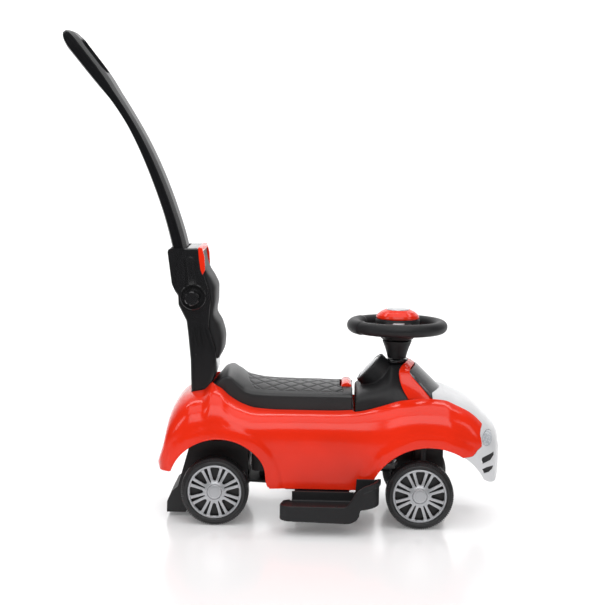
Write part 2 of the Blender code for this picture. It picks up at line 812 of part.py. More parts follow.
SEAT_CREASE_CURVE = smooth_curve([
    (SEAT_REAR_X, 0.2360),
    (SEAT_REAR_X + 0.009, 0.2465),
    (SEAT_REAR_X + 0.020, 0.2575),
    (SEAT_REAR_X + 0.031, SEAT_HUMP_Z - 0.0070),
    (SEAT_REAR_X + 0.046, SEAT_HUMP_Z - 0.0190),
    (SEAT_REAR_X + 0.063, SEAT_HUMP_Z - 0.0320),
    (SEAT_REAR_X + 0.085, SEAT_TOP_Z - 0.0125),
    (SEAT_REAR_X + 0.120, SEAT_TOP_Z - 0.0135),
    (SEAT_FRONT_X, SEAT_TOP_Z - 0.0135),
])

SEAT_FOOT_CURVE = smooth_curve([
    (SEAT_REAR_X, 0.2310),
    (SEAT_REAR_X + 0.015, 0.2230),
    (SEAT_REAR_X + 0.034, 0.2120),
    (SEAT_REAR_X + 0.056, 0.2030),
    (SEAT_REAR_X + 0.080, 0.1990),
    (SEAT_FRONT_X, 0.1990),
])

SEAT_PLAN_CURVE = smooth_curve([
    (SEAT_REAR_X, SEAT_HALF_WIDTH - 0.030),
    (SEAT_REAR_X + 0.004, SEAT_HALF_WIDTH - 0.016),
    (SEAT_REAR_X + 0.012, SEAT_HALF_WIDTH - 0.006),
    (SEAT_REAR_X + 0.030, SEAT_HALF_WIDTH),
    (SEAT_FRONT_X, SEAT_HALF_WIDTH),
])


SEAT_STATIONS = (0.0, 0.004, 0.010, 0.020, 0.031, 0.042, 0.054, 0.068, 0.085, 0.120, 0.185)


def seat_solid(inset, drop):
    rings = []
    for d in SEAT_STATIONS:
        rings.append((SEAT_REAR_X + d, seat_section(SEAT_REAR_X + d)))
    rings.append((SEAT_FRONT_X, seat_section(SEAT_FRONT_X)))
    middle = (SEAT_REAR_X + SEAT_FRONT_X) / 2
    scale = 1 - 2 * inset / (SEAT_FRONT_X - SEAT_REAR_X)
    out = []
    for x, rows in rings:
        at = middle + (x - middle) * scale
        half = [(max(y - inset, 0.0), z - inset) for y, z in rows]
        half[0] = (half[0][0], rows[0][1] - drop)
        out.append([(at, y, z) for y, z in half] + [(at, -y, z) for y, z in reversed(half[:-1])])
    return loft(out)


def build_seat():
    hinge = empty("lid_hinge", (LID_PIVOT[0], 0, LID_PIVOT[1]), CAR)
    lid = add("seat_lid", seat_solid(0.0, 0.0), black_satin, hinge)
    combine(lid, tool("lid_cavity", seat_solid(WALL, 0.02), hinge))
    notch = [
        (CATCH_X - CATCH_RADIUS - 0.0022, 0.18),
        (CATCH_X - CATCH_RADIUS - 0.0022, 0.30),
        (SEAT_FRONT_X + 0.02, 0.30),
        (SEAT_FRONT_X + 0.02, 0.18),
    ]
    side = CATCH_HALF_LENGTH + 0.0015
    combine(lid, tool("catch_notch", prism(notch, "Y", -side, side), hinge))
    x, z = LID_PIVOT
    lug = [(x - 0.0048, z - 0.002), (x, z - 0.0055), (x + 0.0050, z - 0.002), (x + 0.0060, z + 0.0160)]
    lug += [(x - 0.0040, z + 0.0095)]
    for place in (-1, 1):
        ends = sorted((0.020 * place, 0.032 * place))
        combine(lid, tool("lid_lug_" + str(place + 1), prism(lug, "Y", *ends), hinge), "UNION")
    bore = rod((x, -0.05, z), (x, 0.05, z), LID_PIN_RADIUS + RUNNING_GAP, 12)
    combine(lid, tool("lid_bore", bore, hinge))
    add("lid_hinge_pin", rod((x, -0.046, z), (x, 0.046, z), LID_PIN_RADIUS, 12), steel)

    floor, rim, lip = 0.088, 0.1955, 0.003
    rear, front = 0.062, CATCH_X - 0.0145
    half = 0.068
    outer = [(rear, -half), (front, -half), (front, half), (rear, half)]
    tub = add("storage_tub", prism(rounded(outer, 0.012), "Z", floor, rim), black_satin)
    flange_rear = SEAT_REAR_X + 0.0020
    flange = [
        (flange_rear + 0.020, -SEAT_HALF_WIDTH + 0.002),
        (DASH_REAR_X - 0.0020, -SEAT_HALF_WIDTH + 0.002),
        (DASH_REAR_X - 0.0020, SEAT_HALF_WIDTH - 0.002),
        (flange_rear + 0.020, SEAT_HALF_WIDTH - 0.002),
    ]
    combine(tub, tool("tub_flange", prism(flange, "Z", rim - lip, rim + 0.0003)), "UNION")
    ear = [(x - 0.0045, z - 0.002), (x - 0.0030, z - 0.0080), (x + 0.0080, 0.1930), (x + 0.0240, 0.1930)]
    ear += [(x + 0.0050, z - 0.002), (x + 0.0045, z + 0.0020), (x + 0.0010, z + 0.0050)]
    ear += [(x - 0.0030, z + 0.0040), (x - 0.0045, z + 0.0015)]
    for place in (-1, 1):
        ends = sorted((0.0335 * place, 0.0390 * place))
        combine(tub, tool("tub_ear_" + str(place + 1), prism(ear, "Y", *ends)), "UNION")
    hollow = [(rear + WALL, -half + WALL), (front - WALL, -half + WALL), (front - WALL, half - WALL)]
    hollow += [(rear + WALL, half - WALL)]
    combine(tub, tool("tub_hollow", prism(rounded(hollow, 0.010), "Z", floor + WALL, 0.30)))
    combine(tub, tool("tub_pin_bore", rod((x, -0.05, z), (x, 0.05, z), LID_PIN_RADIUS + GAP, 12)))
    slot = box((CATCH_X - 0.0045, -0.030, 0.15), (CATCH_X + 0.0045, 0.030, 0.25))
    combine(tub, tool("catch_slot", slot))

    catch_z = SEAT_TOP_Z - 0.0075
    base = empty("catch_slide", (CATCH_X, 0, catch_z), CAR)
    dome = [(CATCH_X + CATCH_RADIUS * math.cos(a), catch_z + CATCH_RADIUS * math.sin(a))
            for a in [math.pi * k / 8 for k in range(9)]]
    dome += [(CATCH_X - CATCH_RADIUS, 0.2100), (CATCH_X + CATCH_RADIUS, 0.2100)]
    catch = add("lid_catch", prism(dome, "Y", -CATCH_HALF_LENGTH, CATCH_HALF_LENGTH), red_gloss, base)
    stem = box((CATCH_X - 0.0040, -0.0290, 0.1880), (CATCH_X + 0.0040, 0.0290, 0.2120))
    combine(catch, tool("catch_stem", stem, base), "UNION")
    return lid, tub


# Backrest: two glossy half shells around the handle's foot, a red trim, a pad and the clamp knob

def shell_outline():
    return [
        (-0.0940, 0.4835),
        (-0.0850, 0.4200),
        (-0.0790, 0.4075),
        (-0.0735, 0.4000),
        (-0.0725, 0.3830),
        (-0.0580, 0.3550),
        (-0.0550, 0.3330),
        (-0.0500, 0.2850),
        (POST_REAR_X, 0.2250),
        (POST_REAR_X, CARRIER_TOP_Z + GAP),
        (POST_FRONT_X, CARRIER_TOP_Z + GAP),
        (POST_FRONT_X, 0.2260),
        (-0.0125, 0.2390),
        (-0.0050, 0.2600),
        (-0.0035, 0.2850),
        (-0.0065, 0.3080),
        (-0.0180, 0.3430),
        (-0.0165, 0.3700),
        (-0.0150, 0.3860),
        (-0.0180, 0.4100),
        (-0.0270, 0.4380),
        (-0.0320, 0.4530),
        (-0.0330, 0.4780),
        (-0.0390, 0.4850),
    ]


# The arm's lean from the vertical in degrees, its depth and its width, by the distance from its foot
HANDLE_LEAN = smooth_curve([
    (0.0, HANDLE_SEAT_ANGLE),
    (0.108, HANDLE_SEAT_ANGLE),
    (0.136, 16.2),
    (0.193, 20.0),
    (0.250, 23.2),
    (0.306, 27.2),
    (0.362, 32.6),
    (0.406, 36.2),
    (0.453, 38.6),
    (HANDLE_LENGTH, 39.6),
])
HANDLE_THICK = smooth_curve([
    (0.0, HANDLE_DEPTH),
    (0.110, HANDLE_DEPTH),
    (0.170, HANDLE_DEPTH - 0.0025),
    (0.230, HANDLE_DEPTH - 0.0040),
    (0.300, HANDLE_DEPTH - 0.0070),
    (0.350, HANDLE_DEPTH - 0.0090),
    (0.390, HANDLE_DEPTH - 0.0080),
    (0.430, HANDLE_DEPTH - 0.0015),
    (0.465, HANDLE_DEPTH + 0.0015),
    (HANDLE_LENGTH - 0.030, HANDLE_DEPTH + 0.0020),
    (HANDLE_LENGTH - 0.012, HANDLE_DEPTH - 0.0030),
    (HANDLE_LENGTH - 0.004, HANDLE_DEPTH - 0.0110),
    (HANDLE_LENGTH, HANDLE_DEPTH - 0.0190),
])
HANDLE_ACROSS = smooth_curve([
    (0.0, HANDLE_WIDTH),
    (0.330, HANDLE_WIDTH),
    (0.420, LOOP_WIDTH),
    (HANDLE_LENGTH - 0.040, LOOP_WIDTH),
    (HANDLE_LENGTH - 0.018, LOOP_WIDTH - 0.014),
    (HANDLE_LENGTH - 0.006, LOOP_WIDTH - 0.036),
    (HANDLE_LENGTH, LOOP_WIDTH - 0.062),
])


def handle_point(s):
    """The centre line's (x, z, lean) at a distance along it, by walking from the foot in short steps."""
    x, z = HANDLE_FOOT
    steps = max(1, math.ceil(s / 0.002))
    ds = s / steps
    for k in range(steps):
        a = math.radians(HANDLE_LEAN((k + 0.5) * ds))
        x -= math.sin(a) * ds
        z += math.cos(a) * ds
    return x, z, math.radians(HANDLE_LEAN(s))


def handle_stations():
    arm = [0.0, 0.055, 0.108, 0.140, 0.180, 0.220, 0.260, 0.300, 0.335, 0.365, 0.395, 0.420, 0.450, 0.480]
    return arm + [HANDLE_LENGTH - d for d in (0.036, 0.020, 0.010, 0.004, 0.0)]


def handle_section(width, depth, corner):
    half = width / 2
    deep = depth / 2
    corners = [(-half, -deep), (half, -deep), (half, deep), (-half, deep)]
    return rounded(corners, corner, 2)


def build_handle():
    pull = empty("handle_slide", (HANDLE_FOOT[0], 0, HANDLE_FOOT[1]), CAR)
    stations = handle_stations()

    def section(k):
        depth = HANDLE_THICK(stations[k])
        return handle_section(HANDLE_ACROSS(stations[k]), depth, min(0.009, depth * 0.4))

    handle = add("handle", sweep([handle_point(s) for s in stations], section), black_gloss, pull)
    x, z, a = handle_point(HANDLE_LENGTH)
    along = Vector((-math.sin(a), 0, math.cos(a)))
    out = Vector((math.cos(a), 0, math.sin(a)))
    far = Vector((x, 0, z)) - along * LOOP_RIM
    near = far - along * LOOP_HEIGHT
    half = LOOP_WIDTH / 2 - LOOP_RIM
    rings = []
    for level in (-0.05, 0.05):
        ring = []
        for across, t in rounded_slot(half, (far - near).length):
            ring.append(near + along * t + Vector((0, across, 0)) + out * level)
        rings.append(ring)
    combine(handle, tool("handle_loop", loft(rings), pull))
    seat_lean = math.radians(HANDLE_SEAT_ANGLE)
    along = Vector((-math.sin(seat_lean), 0, math.cos(seat_lean)))
    out = Vector((math.cos(seat_lean), 0, math.sin(seat_lean)))
    foot = Vector((HANDLE_FOOT[0], 0, HANDLE_FOOT[1]))
    bolt = Vector((KNOB_AT[0], 0, KNOB_AT[1]))
    reach = (bolt - foot).dot(along)
    wide = BOLT_RADIUS + RUNNING_GAP
    shape = [(-reach - 0.02, -wide), (0.0, -wide)]
    shape += [(wide * math.sin(a), -wide * math.cos(a)) for a in [math.pi * k / 8 for k in range(1, 8)]]
    shape += [(0.0, wide), (-reach - 0.02, wide)]
    slot = []
    for level in (-0.08, 0.08):
        slot.append([bolt + along * t + out * o + Vector((0, level, 0)) for t, o in shape])
    combine(handle, tool("clamp_slot", loft(slot), pull))
    return handle


def rounded_slot(half, length):
    return rounded([(-half, 0.0), (half, 0.0), (half, length), (-half, length)], 0.022, 4)


def split_line():
    """Where the rear shell meets the front shell, seen from the side."""
    low = [(-0.0300, 0.10), (-0.0300, 0.300), (-0.0330, 0.355)]
    return low + [(-0.0350, 0.385), (-0.0590, 0.4855), (-0.0640, 0.52)]


def socket_bore(grow):
    a = math.radians(HANDLE_SEAT_ANGLE)
    along = Vector((-math.sin(a), 0, math.cos(a)))
    out = Vector((math.cos(a), 0, math.sin(a)))
    foot = Vector((HANDLE_FOOT[0], 0, HANDLE_FOOT[1]))
    rings = []
    for s in (-0.0015, 0.14):
        ring = []
        for across, o in handle_section(HANDLE_WIDTH + 2 * grow, HANDLE_DEPTH + 2 * grow, 0.009 + grow):
            ring.append(foot + along * s + out * o + Vector((0, across, 0)))
        rings.append(ring)
    return loft(rings)


def build_backrest():
    outline = shell_outline()
    line = split_line()
    rear_side = [(-0.20, 0.52), (-0.20, 0.10)] + line
    front_side = [(0.10, 0.52), (0.10, 0.10)] + [(x + GAP, z) for x, z in line]
    bolt = rod((KNOB_AT[0], -0.10, KNOB_AT[1]), (KNOB_AT[0], 0.10, KNOB_AT[1]), BOLT_RADIUS + RUNNING_GAP, 16)
    bolt_tool = tool("bolt_bore", bolt)
    bore_tool = tool("socket_bore", socket_bore(RUNNING_GAP))
    bolt_at = (KNOB_AT[0], 0, KNOB_AT[1])
    well = rod((KNOB_AT[0], -0.0700, KNOB_AT[1]), (KNOB_AT[0], -0.0545, KNOB_AT[1]), KNOB_WELL_RADIUS, 24)
    well_tool = tool("knob_well", well)
    ring_face = POST_HALF_WIDTH + 0.0013
    ring = [(KNOB_WELL_RADIUS - 0.001, 0.0560), (KNOB_WELL_RADIUS + 0.0026, 0.0560)]
    ring += [(KNOB_WELL_RADIUS + 0.0018, ring_face), (KNOB_WELL_RADIUS - 0.001, ring_face)]
    ring_tool = tool("knob_ring", turned(ring, bolt_at, (0, -1, 0), 24))
    lower = tool("post_hollow", post_hollow())
    for name, half in (("backrest_rear_shell", rear_side), ("backrest_front_shell", front_side)):
        shell = add(name, prism(outline, "Y", -POST_HALF_WIDTH, POST_HALF_WIDTH), black_gloss)
        combine(shell, ring_tool, "UNION")
        combine(shell, tool(name + "_half", prism(half, "Y", -0.1, 0.1)), "INTERSECT")
        combine(shell, bore_tool)
        combine(shell, lower)
        combine(shell, bolt_tool)
        combine(shell, well_tool)
    combine(shell, trim_form("trim_seat", GAP, tool))
    trim_form("backrest_trim", 0.0, add, red_gloss)
    build_pad()


def trim_form(name, grow, make, *paint):
    """The red strip over the pad's top that runs down both its sides, in a seat of the front shell."""
    outer = POST_HALF_WIDTH + 0.0005 + grow
    inner = PAD_HALF_WIDTH + 0.0006 - grow
    edge = [
        (-0.0385 - grow, 0.4860),
        (-0.0370 - grow, 0.4672),
        (-0.0339 - grow, 0.4467),
        (-0.0301, 0.4374 - 2.2 * grow),
        (-0.0254 + grow, 0.4469 - grow),
        (-0.0267 + grow, 0.4693),
        (-0.0315 + grow, 0.4860),
    ]
    strip = make(name, prism(edge, "Y", -outer, outer), *paint)
    window = box((-0.1, -inner, 0.42), (0.1, inner, TRIM_BRIDGE_Z - grow))
    return combine(strip, tool(name + "_window", window))


def post_hollow():
    """The space inside the lower post, open below onto the chassis."""
    outline = [
        (POST_REAR_X + POST_WALL, 0.10),
        (POST_REAR_X + POST_WALL, 0.2250),
        (-0.0455, 0.2850),
        (-0.0505, 0.3330),
        (-0.0530, 0.3500),
        (-0.0500, 0.3700),
        (-0.0230, 0.3700),
        (-0.0220, 0.3430),
        (-0.0105, 0.3080),
        (-0.0078, 0.2850),
        (-0.0088, 0.2600),
        (-0.0130, 0.2390),
        (POST_FRONT_X - POST_WALL, 0.2260),
        (POST_FRONT_X - POST_WALL, 0.10),
    ]
    return prism(outline, "Y", -POST_HALF_WIDTH + POST_WALL, POST_HALF_WIDTH - POST_WALL)


def build_pad():
    """The pad's waved front stands proud of the shell; its back follows the shell's front edge."""
    front = smooth_curve([
        (PAD_FOOT_Z, 0.0010),
        (0.3030, 0.0075),
        (0.3210, 0.0090),
        (0.3470, 0.0030),
        (0.3670, -0.0080),
        (0.3900, -0.0052),
        (0.4120, -0.0050),
        (0.4290, -0.0118),
        (0.4430, -0.0215),
        (0.4560, -0.0270),
        (PAD_TOP_Z, -0.0320),
    ])
    shell_front = [(z, x) for x, z in shell_outline()[13:23]]
    back = straight_curve(shell_front)
    rings = []
    levels = [PAD_FOOT_Z, 0.2930, 0.3030, 0.3120, 0.3210, 0.3340, 0.3470, 0.3570, 0.3670, 0.3780]
    levels += [0.3900, 0.4010, 0.4120, 0.4210, 0.4290, 0.4360, 0.4430, 0.4500, 0.4560, 0.4680]
    levels += [PAD_TOP_Z - 0.0005]
    bends = [z for z, x in shell_front if levels[0] < z < levels[-1]]
    levels += [z for z in bends if min(abs(z - n) for n in levels) > 1e-4]
    for z in sorted(levels):
        end = min(z - PAD_FOOT_Z, PAD_TOP_Z - z)
        edge = min(1.0, 0.55 + 22 * end)
        half = PAD_HALF_WIDTH * (0.80 + 0.20 * min(1.0, 30 * end))
        rear_x = back(z) + GAP
        deep = max(front(z) - rear_x, 0.0012)
        crown = [(rear_x, -half), (rear_x + deep * 0.55, -half)]
        crown += [(rear_x + deep * 0.90 * edge + 0.0005, -half * 0.80), (rear_x + deep * edge + 0.0008, 0.0)]
        ring = crown + [(x, -y) for x, y in reversed(crown[:-1])]
        rings.append([(x, y, z) for x, y in ring])
    return add("backrest_pad", loft(rings), black_satin)


# Wheels: a black tyre with its web and hub, a sixteen-spoke cover and a hub cap

def tyre_profile():
    """Radius and offset from the wheel's middle; plus is the outer side."""
    half = TYRE_WIDTH / 2
    bore = AXLE_RADIUS + RUNNING_GAP
    edge = WHEEL_RADIUS
    seat = RIM_RADIUS + GAP
    return [
        (bore, -half + 0.0020),
        (0.0115, -half + 0.0020),
        (0.0125, -0.0030),
        (seat - 0.004, -0.0030),
        (seat - 0.002, -half),
        (edge - 0.0060, -half),
        (edge, -half + 0.0070),
        (edge, half - 0.0070),
        (edge - 0.0060, half),
        (seat, half - 0.0012),
        (seat, half - 0.0120),
        (0.0125, half - 0.0120),
        (0.0115, half - 0.0100),
        (bore, half - 0.0100),
    ]


def rim_cutters(middle, side):
    """Eight wide and eight slim windows between the spokes, as prisms along the axle."""
    cutters = []
    for k in range(8):
        a = math.pi / 4 * k + math.pi / 2
        wide = [(0.0430, -0.0086), (0.0430, 0.0086), (0.0225, 0.0030), (0.0205, 0.0), (0.0225, -0.0030)]
        slim = [(0.0445, -0.0031), (0.0445, 0.0031), (0.0178, 0.0010), (0.0178, -0.0010)]
        for shape, turn in ((wide, a), (slim, a + math.pi / 8)):
            outline = []
            for r, t in shape:
                outline.append((
                    middle.x + r * math.cos(turn) - t * math.sin(turn),
                    middle.z + r * math.sin(turn) + t * math.cos(turn),
                ))
            ends = sorted((middle.y, middle.y + side * 0.03))
            cutters.append(prism(outline, "Y", *ends))
    return merged(*cutters)


def build_wheel(name, middle, side, carrier):
    pivot = empty("spin_" + name, middle, carrier)
    centre = Vector(middle)
    pivot.location = centre - (Vector(carrier.location) if carrier is not CAR else Vector((0, 0, 0)))
    axis = (0, side, 0)
    origin = Matrix.Translation(-centre)

    def place(part, mesh, paint):
        made = add(part + "_" + name, mesh, paint)
        made.data.transform(origin)
        made.parent = pivot
        return made

    place("tyre", turned(tyre_profile(), centre, axis, TYRE_STEPS), black_satin)
    half = TYRE_WIDTH / 2
    face = half - 0.0030
    cover = [
        (0, face - 0.0025),
        (RIM_RADIUS, face - 0.0030),
        (RIM_RADIUS, face + 0.0014),
        (RIM_RADIUS - 0.0030, face + 0.0018),
        (RIM_RADIUS - 0.0042, face - 0.0002),
        (0.0140, face + 0.0010),
        (0, face + 0.0010),
    ]
    rim = place("rim", turned(cover, centre, axis, RIM_STEPS), silver_paint)
    cutter = tool("rim_windows_" + name, rim_cutters(centre, side))
    cutter.data.transform(origin)
    cutter.parent = pivot
    combine(rim, cutter)
    seat = face + 0.0010 + GAP
    cap = [(0, seat), (0.0130, seat), (0.0122, face + 0.0030), (0, face + 0.0036)]
    place("hub_cap", turned(cap, centre, axis, 16), silver_paint)


# Chassis: rear carrier with its anti-tip foot, undertray and front carrier

def build_rear_carrier():
    top = CARRIER_TOP_Z
    outline = [
        (-0.0500, top),
        (0.0555, top),
        (0.0555, 0.0700),
        (0.0340, 0.0460),
        (-0.0300, 0.0420),
        (-0.0560, 0.0080),
        (-0.0895, 0.0080),
        (-0.0895, 0.0270),
        (-0.0800, 0.0470),
        (-0.0705, 0.0545),
        (-0.0520, 0.1230),
    ]
    half = CARRIER_HALF_WIDTH
    carrier = add("rear_carrier", prism(outline, "Y", -half, half), black_satin)
    web = 0.004
    for side in (-1, 1):
        near, far = sorted((side * web / 2, side * (half - 0.005)))
        pocket = [(-0.0380, 0.0), (-0.0380, 0.0480), (-0.0300, top - 0.008)]
        pocket += [(0.0500, top - 0.008), (0.0500, 0.0)]
        combine(carrier, tool("carrier_pocket_" + str(side + 1), prism(pocket, "Y", near, far)))
    reach = WHEEL_Y - TYRE_WIDTH / 2 + 0.0020 - RUNNING_GAP
    boss = rod((0, -reach, AXLE_Z), (0, reach, AXLE_Z), 0.0105, 14)
    combine(carrier, tool("axle_boss", boss), "UNION")
    combine(carrier, tool("axle_bore", rod((0, -0.2, AXLE_Z), (0, 0.2, AXLE_Z), AXLE_RADIUS + GAP, 12)))
    end = WHEEL_Y + TYRE_WIDTH / 2 - 0.0100 + RUNNING_GAP
    shaft = [
        (0, -end - 0.0030), (0.0075, -end - 0.0030), (0.0075, -end), (AXLE_RADIUS, -end),
        (AXLE_RADIUS, end), (0.0075, end), (0.0075, end + 0.0030), (0, end + 0.0030),
    ]
    add("rear_axle", turned(shaft, (0, 0, AXLE_Z), (0, 1, 0), 12), steel)
    return carrier


def build_undertray():
    half = WAIST_HALF_WIDTH - WALL - 0.0045
    rear = 0.0555 + GAP
    low, high = SILL_Z - 0.002, SILL_Z + 0.002
    plan = [(rear, -0.060), (0.108, -0.070), (0.125, -half), (FRONT_X - 0.124, -half), (TRAY_FRONT_X, -0.085)]
    plan = plan + [(x, -y) for x, y in reversed(plan)]
    tray = add("undertray", prism(plan, "Z", low, high), black_satin)
    ribs = []
    for y in (-0.090, 0.090):
        ribs.append(box((0.130, y - 0.0015, low + 0.001), (TRAY_FRONT_X - 0.020, y + 0.0015, 0.086)))
    for y in (-0.030, 0.030):
        ribs.append(box((0.075, y - 0.0015, low + 0.001), (TRAY_FRONT_X - 0.020, y + 0.0015, 0.0865)))
    combine(tray, tool("tray_ribs", merged(*ribs)), "UNION")
    wall = box((TRAY_FRONT_X - 0.003, -0.055, low + 0.001), (TRAY_FRONT_X - 0.0002, 0.055, CHASSIS_Z - GAP))
    combine(tray, tool("tray_bulkhead", wall), "UNION")
    return tray


def build_front_carrier():
    half = 0.060
    base, top = CHASSIS_Z, CHASSIS_Z + 0.020
    outline = [(TRAY_FRONT_X - 0.006, base), (TRAY_FRONT_X - 0.006, base + 0.006), (COLUMN_X - 0.016, top)]
    outline += [(FRONT_X + 0.043, top), (FRONT_X + 0.043, 0.097)]
    outline += [(FRONT_X + 0.030, 0.097), (FRONT_X + 0.018, base)]
    carrier = add("front_carrier", prism(outline, "Y", -half, half), black_satin)
    for side in (-1, 1):
        y = side * KINGPIN_Y
        boss = rod((FRONT_X, y, 0.0980), (FRONT_X, y, top + 0.004), 0.0125, 14)
        combine(carrier, tool("kingpin_boss_" + str(side + 1), boss), "UNION")
    tower = rod((COLUMN_X, 0, base - 0.005), (COLUMN_X, 0, 0.150), 0.0120, 14)
    combine(carrier, tool("column_boss", tower), "UNION")
    bores = [rod((COLUMN_X, 0, 0.05), (COLUMN_X, 0, 0.30), ROD_RADIUS + RUNNING_GAP, 12)]
    for side in (-1, 1):
        y = side * KINGPIN_Y
        bores.append(rod((FRONT_X, y, 0.05), (FRONT_X, y, 0.30), KINGPIN_RADIUS + GAP, 12))
    combine(carrier, tool("carrier_bores", merged(*bores)))
    for side, tag in ((-1, "right"), (1, "left")):
        pin = [(0, 0.0395), (0.0070, 0.0395), (0.0070, 0.0425), (KINGPIN_RADIUS, 0.0425)]
        pin += [(KINGPIN_RADIUS, top + 0.0060), (0, top + 0.0060)]
        add("kingpin_" + tag, turned(pin, (FRONT_X, side * KINGPIN_Y, 0), (0, 0, 1), 12), steel)
    return carrier


# Steering: bent rod, column sleeve, wheel, cover and buttons, tie plate and the two knuckles

def build_steering():
    turn = empty("steering_axis", (COLUMN_X, 0, RING_Z), CAR)
    crank_x = COLUMN_X - STEER_ARM
    bar = [
        (COLUMN_X, 0, RING_Z - 0.012),
        (COLUMN_X, 0, ARM_Z + 0.0030),
        (crank_x, 0, ARM_Z + 0.0030),
        (crank_x, 0, PLATE_Z - PLATE_THICK / 2 - 0.003),
    ]
    add("steering_rod", bent_tube(bar, ROD_RADIUS, 10, 0.008), steel, turn)

    ring = bmesh.new()
    rows = []
    for k in range(30):
        a = 2 * math.pi * k / 30
        tube = RING_TUBE * (1.0 + 0.10 * max(0.0, -math.cos(a) - 0.55) / 0.45)
        row = []
        for j in range(8):
            b = 2 * math.pi * j / 8
            r = RING_RADIUS + tube * math.cos(b)
            height = RING_Z + tube * math.sin(b)
            row.append(ring.verts.new((COLUMN_X + r * math.cos(a), r * math.sin(a), height)))
        rows.append(row)
    for k in range(30):
        a, b = rows[k], rows[(k + 1) % 30]
        for j in range(8):
            n = (j + 1) % 8
            ring.faces.new((a[j], a[n], b[n], b[j]))
    wheel = add("steering_wheel", ring, black_satin, turn)
    hub = [(0, RING_Z - 0.032), (0.0290, RING_Z - 0.024), (0.0380, RING_Z - 0.006), (0.0405, RING_Z + 0.008)]
    hub += [(0.0395, RING_Z + 0.0135), (0, RING_Z + 0.0135)]
    combine(wheel, tool("wheel_hub", turned(hub, (COLUMN_X, 0, 0), (0, 0, 1), 18), turn), "UNION")
    for side in (-1, 1):
        rings = []
        for y, half, low, high in (
            (0.020, 0.0280, -0.022, 0.0100),
            (0.045, 0.0270, -0.0130, 0.0080),
            (0.062, 0.0270, -0.0100, 0.0060),
            (RING_RADIUS, 0.0290, -0.0070, 0.0060),
        ):
            rings.append([
                (COLUMN_X - half, side * y, RING_Z + low),
                (COLUMN_X + half, side * y, RING_Z + low),
                (COLUMN_X + half * 0.85, side * y, RING_Z + high),
                (COLUMN_X - half * 0.85, side * y, RING_Z + high),
            ])
        combine(wheel, tool("wheel_spoke_" + str(side + 1), loft(rings), turn), "UNION")
    bore = rod((COLUMN_X, 0, RING_Z - 0.05), (COLUMN_X, 0, RING_Z - 0.010), ROD_RADIUS + GAP, 16)
    combine(wheel, tool("wheel_bore", bore, turn))
    sleeve = [
        (ROD_RADIUS + GAP, 0.2880), (0.0165, 0.2880), (0.0185, 0.2960), (0.0272, RING_Z - 0.0262),
        (0.0230, RING_Z - 0.0276), (0.0150, 0.3000), (ROD_RADIUS + GAP, 0.2960),
    ]
    add("column_sleeve", turned(sleeve, (COLUMN_X, 0, 0), (0, 0, 1), 18), black_satin, turn)
    base = RING_Z + 0.0135 + GAP
    dome = [(0, base), (0.0385, base), (0.0390, base + 0.0030), (0.0340, base + 0.0105)]
    dome += [(0.0220, base + 0.0160), (0.0210, base + 0.0145), (0, base + 0.0145)]
    add("hub_cover", turned(dome, (COLUMN_X, 0, 0), (0, 0, 1), 20), red_gloss, turn)
    seat = base + 0.0145 + GAP
    disc = [(0, seat), (0.0206, seat), (0.0200, base + 0.0170), (0, base + 0.0180)]
    add("hub_disc", turned(disc, (COLUMN_X, 0, 0), (0, 0, 1), 20), silver_paint, turn)

    for side, tag in ((-1, "right"), (1, "left")):
        y = side * 0.0530
        low = RING_Z + 0.0020
        top = RING_Z + 0.0105
        pocket = [(COLUMN_X - 0.0120, y - 0.0070), (COLUMN_X + 0.0090, y - 0.0070)]
        pocket += [(COLUMN_X + 0.0120, y + 0.0070), (COLUMN_X - 0.0090, y + 0.0070)]
        combine(wheel, tool("button_pocket_" + tag, prism(pocket, "Z", low - 0.0035, top + 0.02), turn))
        press = empty("press_" + tag, (0, y, top - RING_Z), turn)
        middle = Vector((COLUMN_X, y, 0))
        shape = []
        for px, py in pocket:
            d = Vector((px, py, 0)) - middle
            shape.append((middle.x + d.x * 0.94, middle.y + d.y * 0.93))
        mesh = prism(shape, "Z", low, top)
        button = add("horn_button_" + tag, mesh, silver_paint)
        button.data.transform(Matrix.Translation(Vector((-COLUMN_X, -y, -top))))
        button.parent = press
    return turn


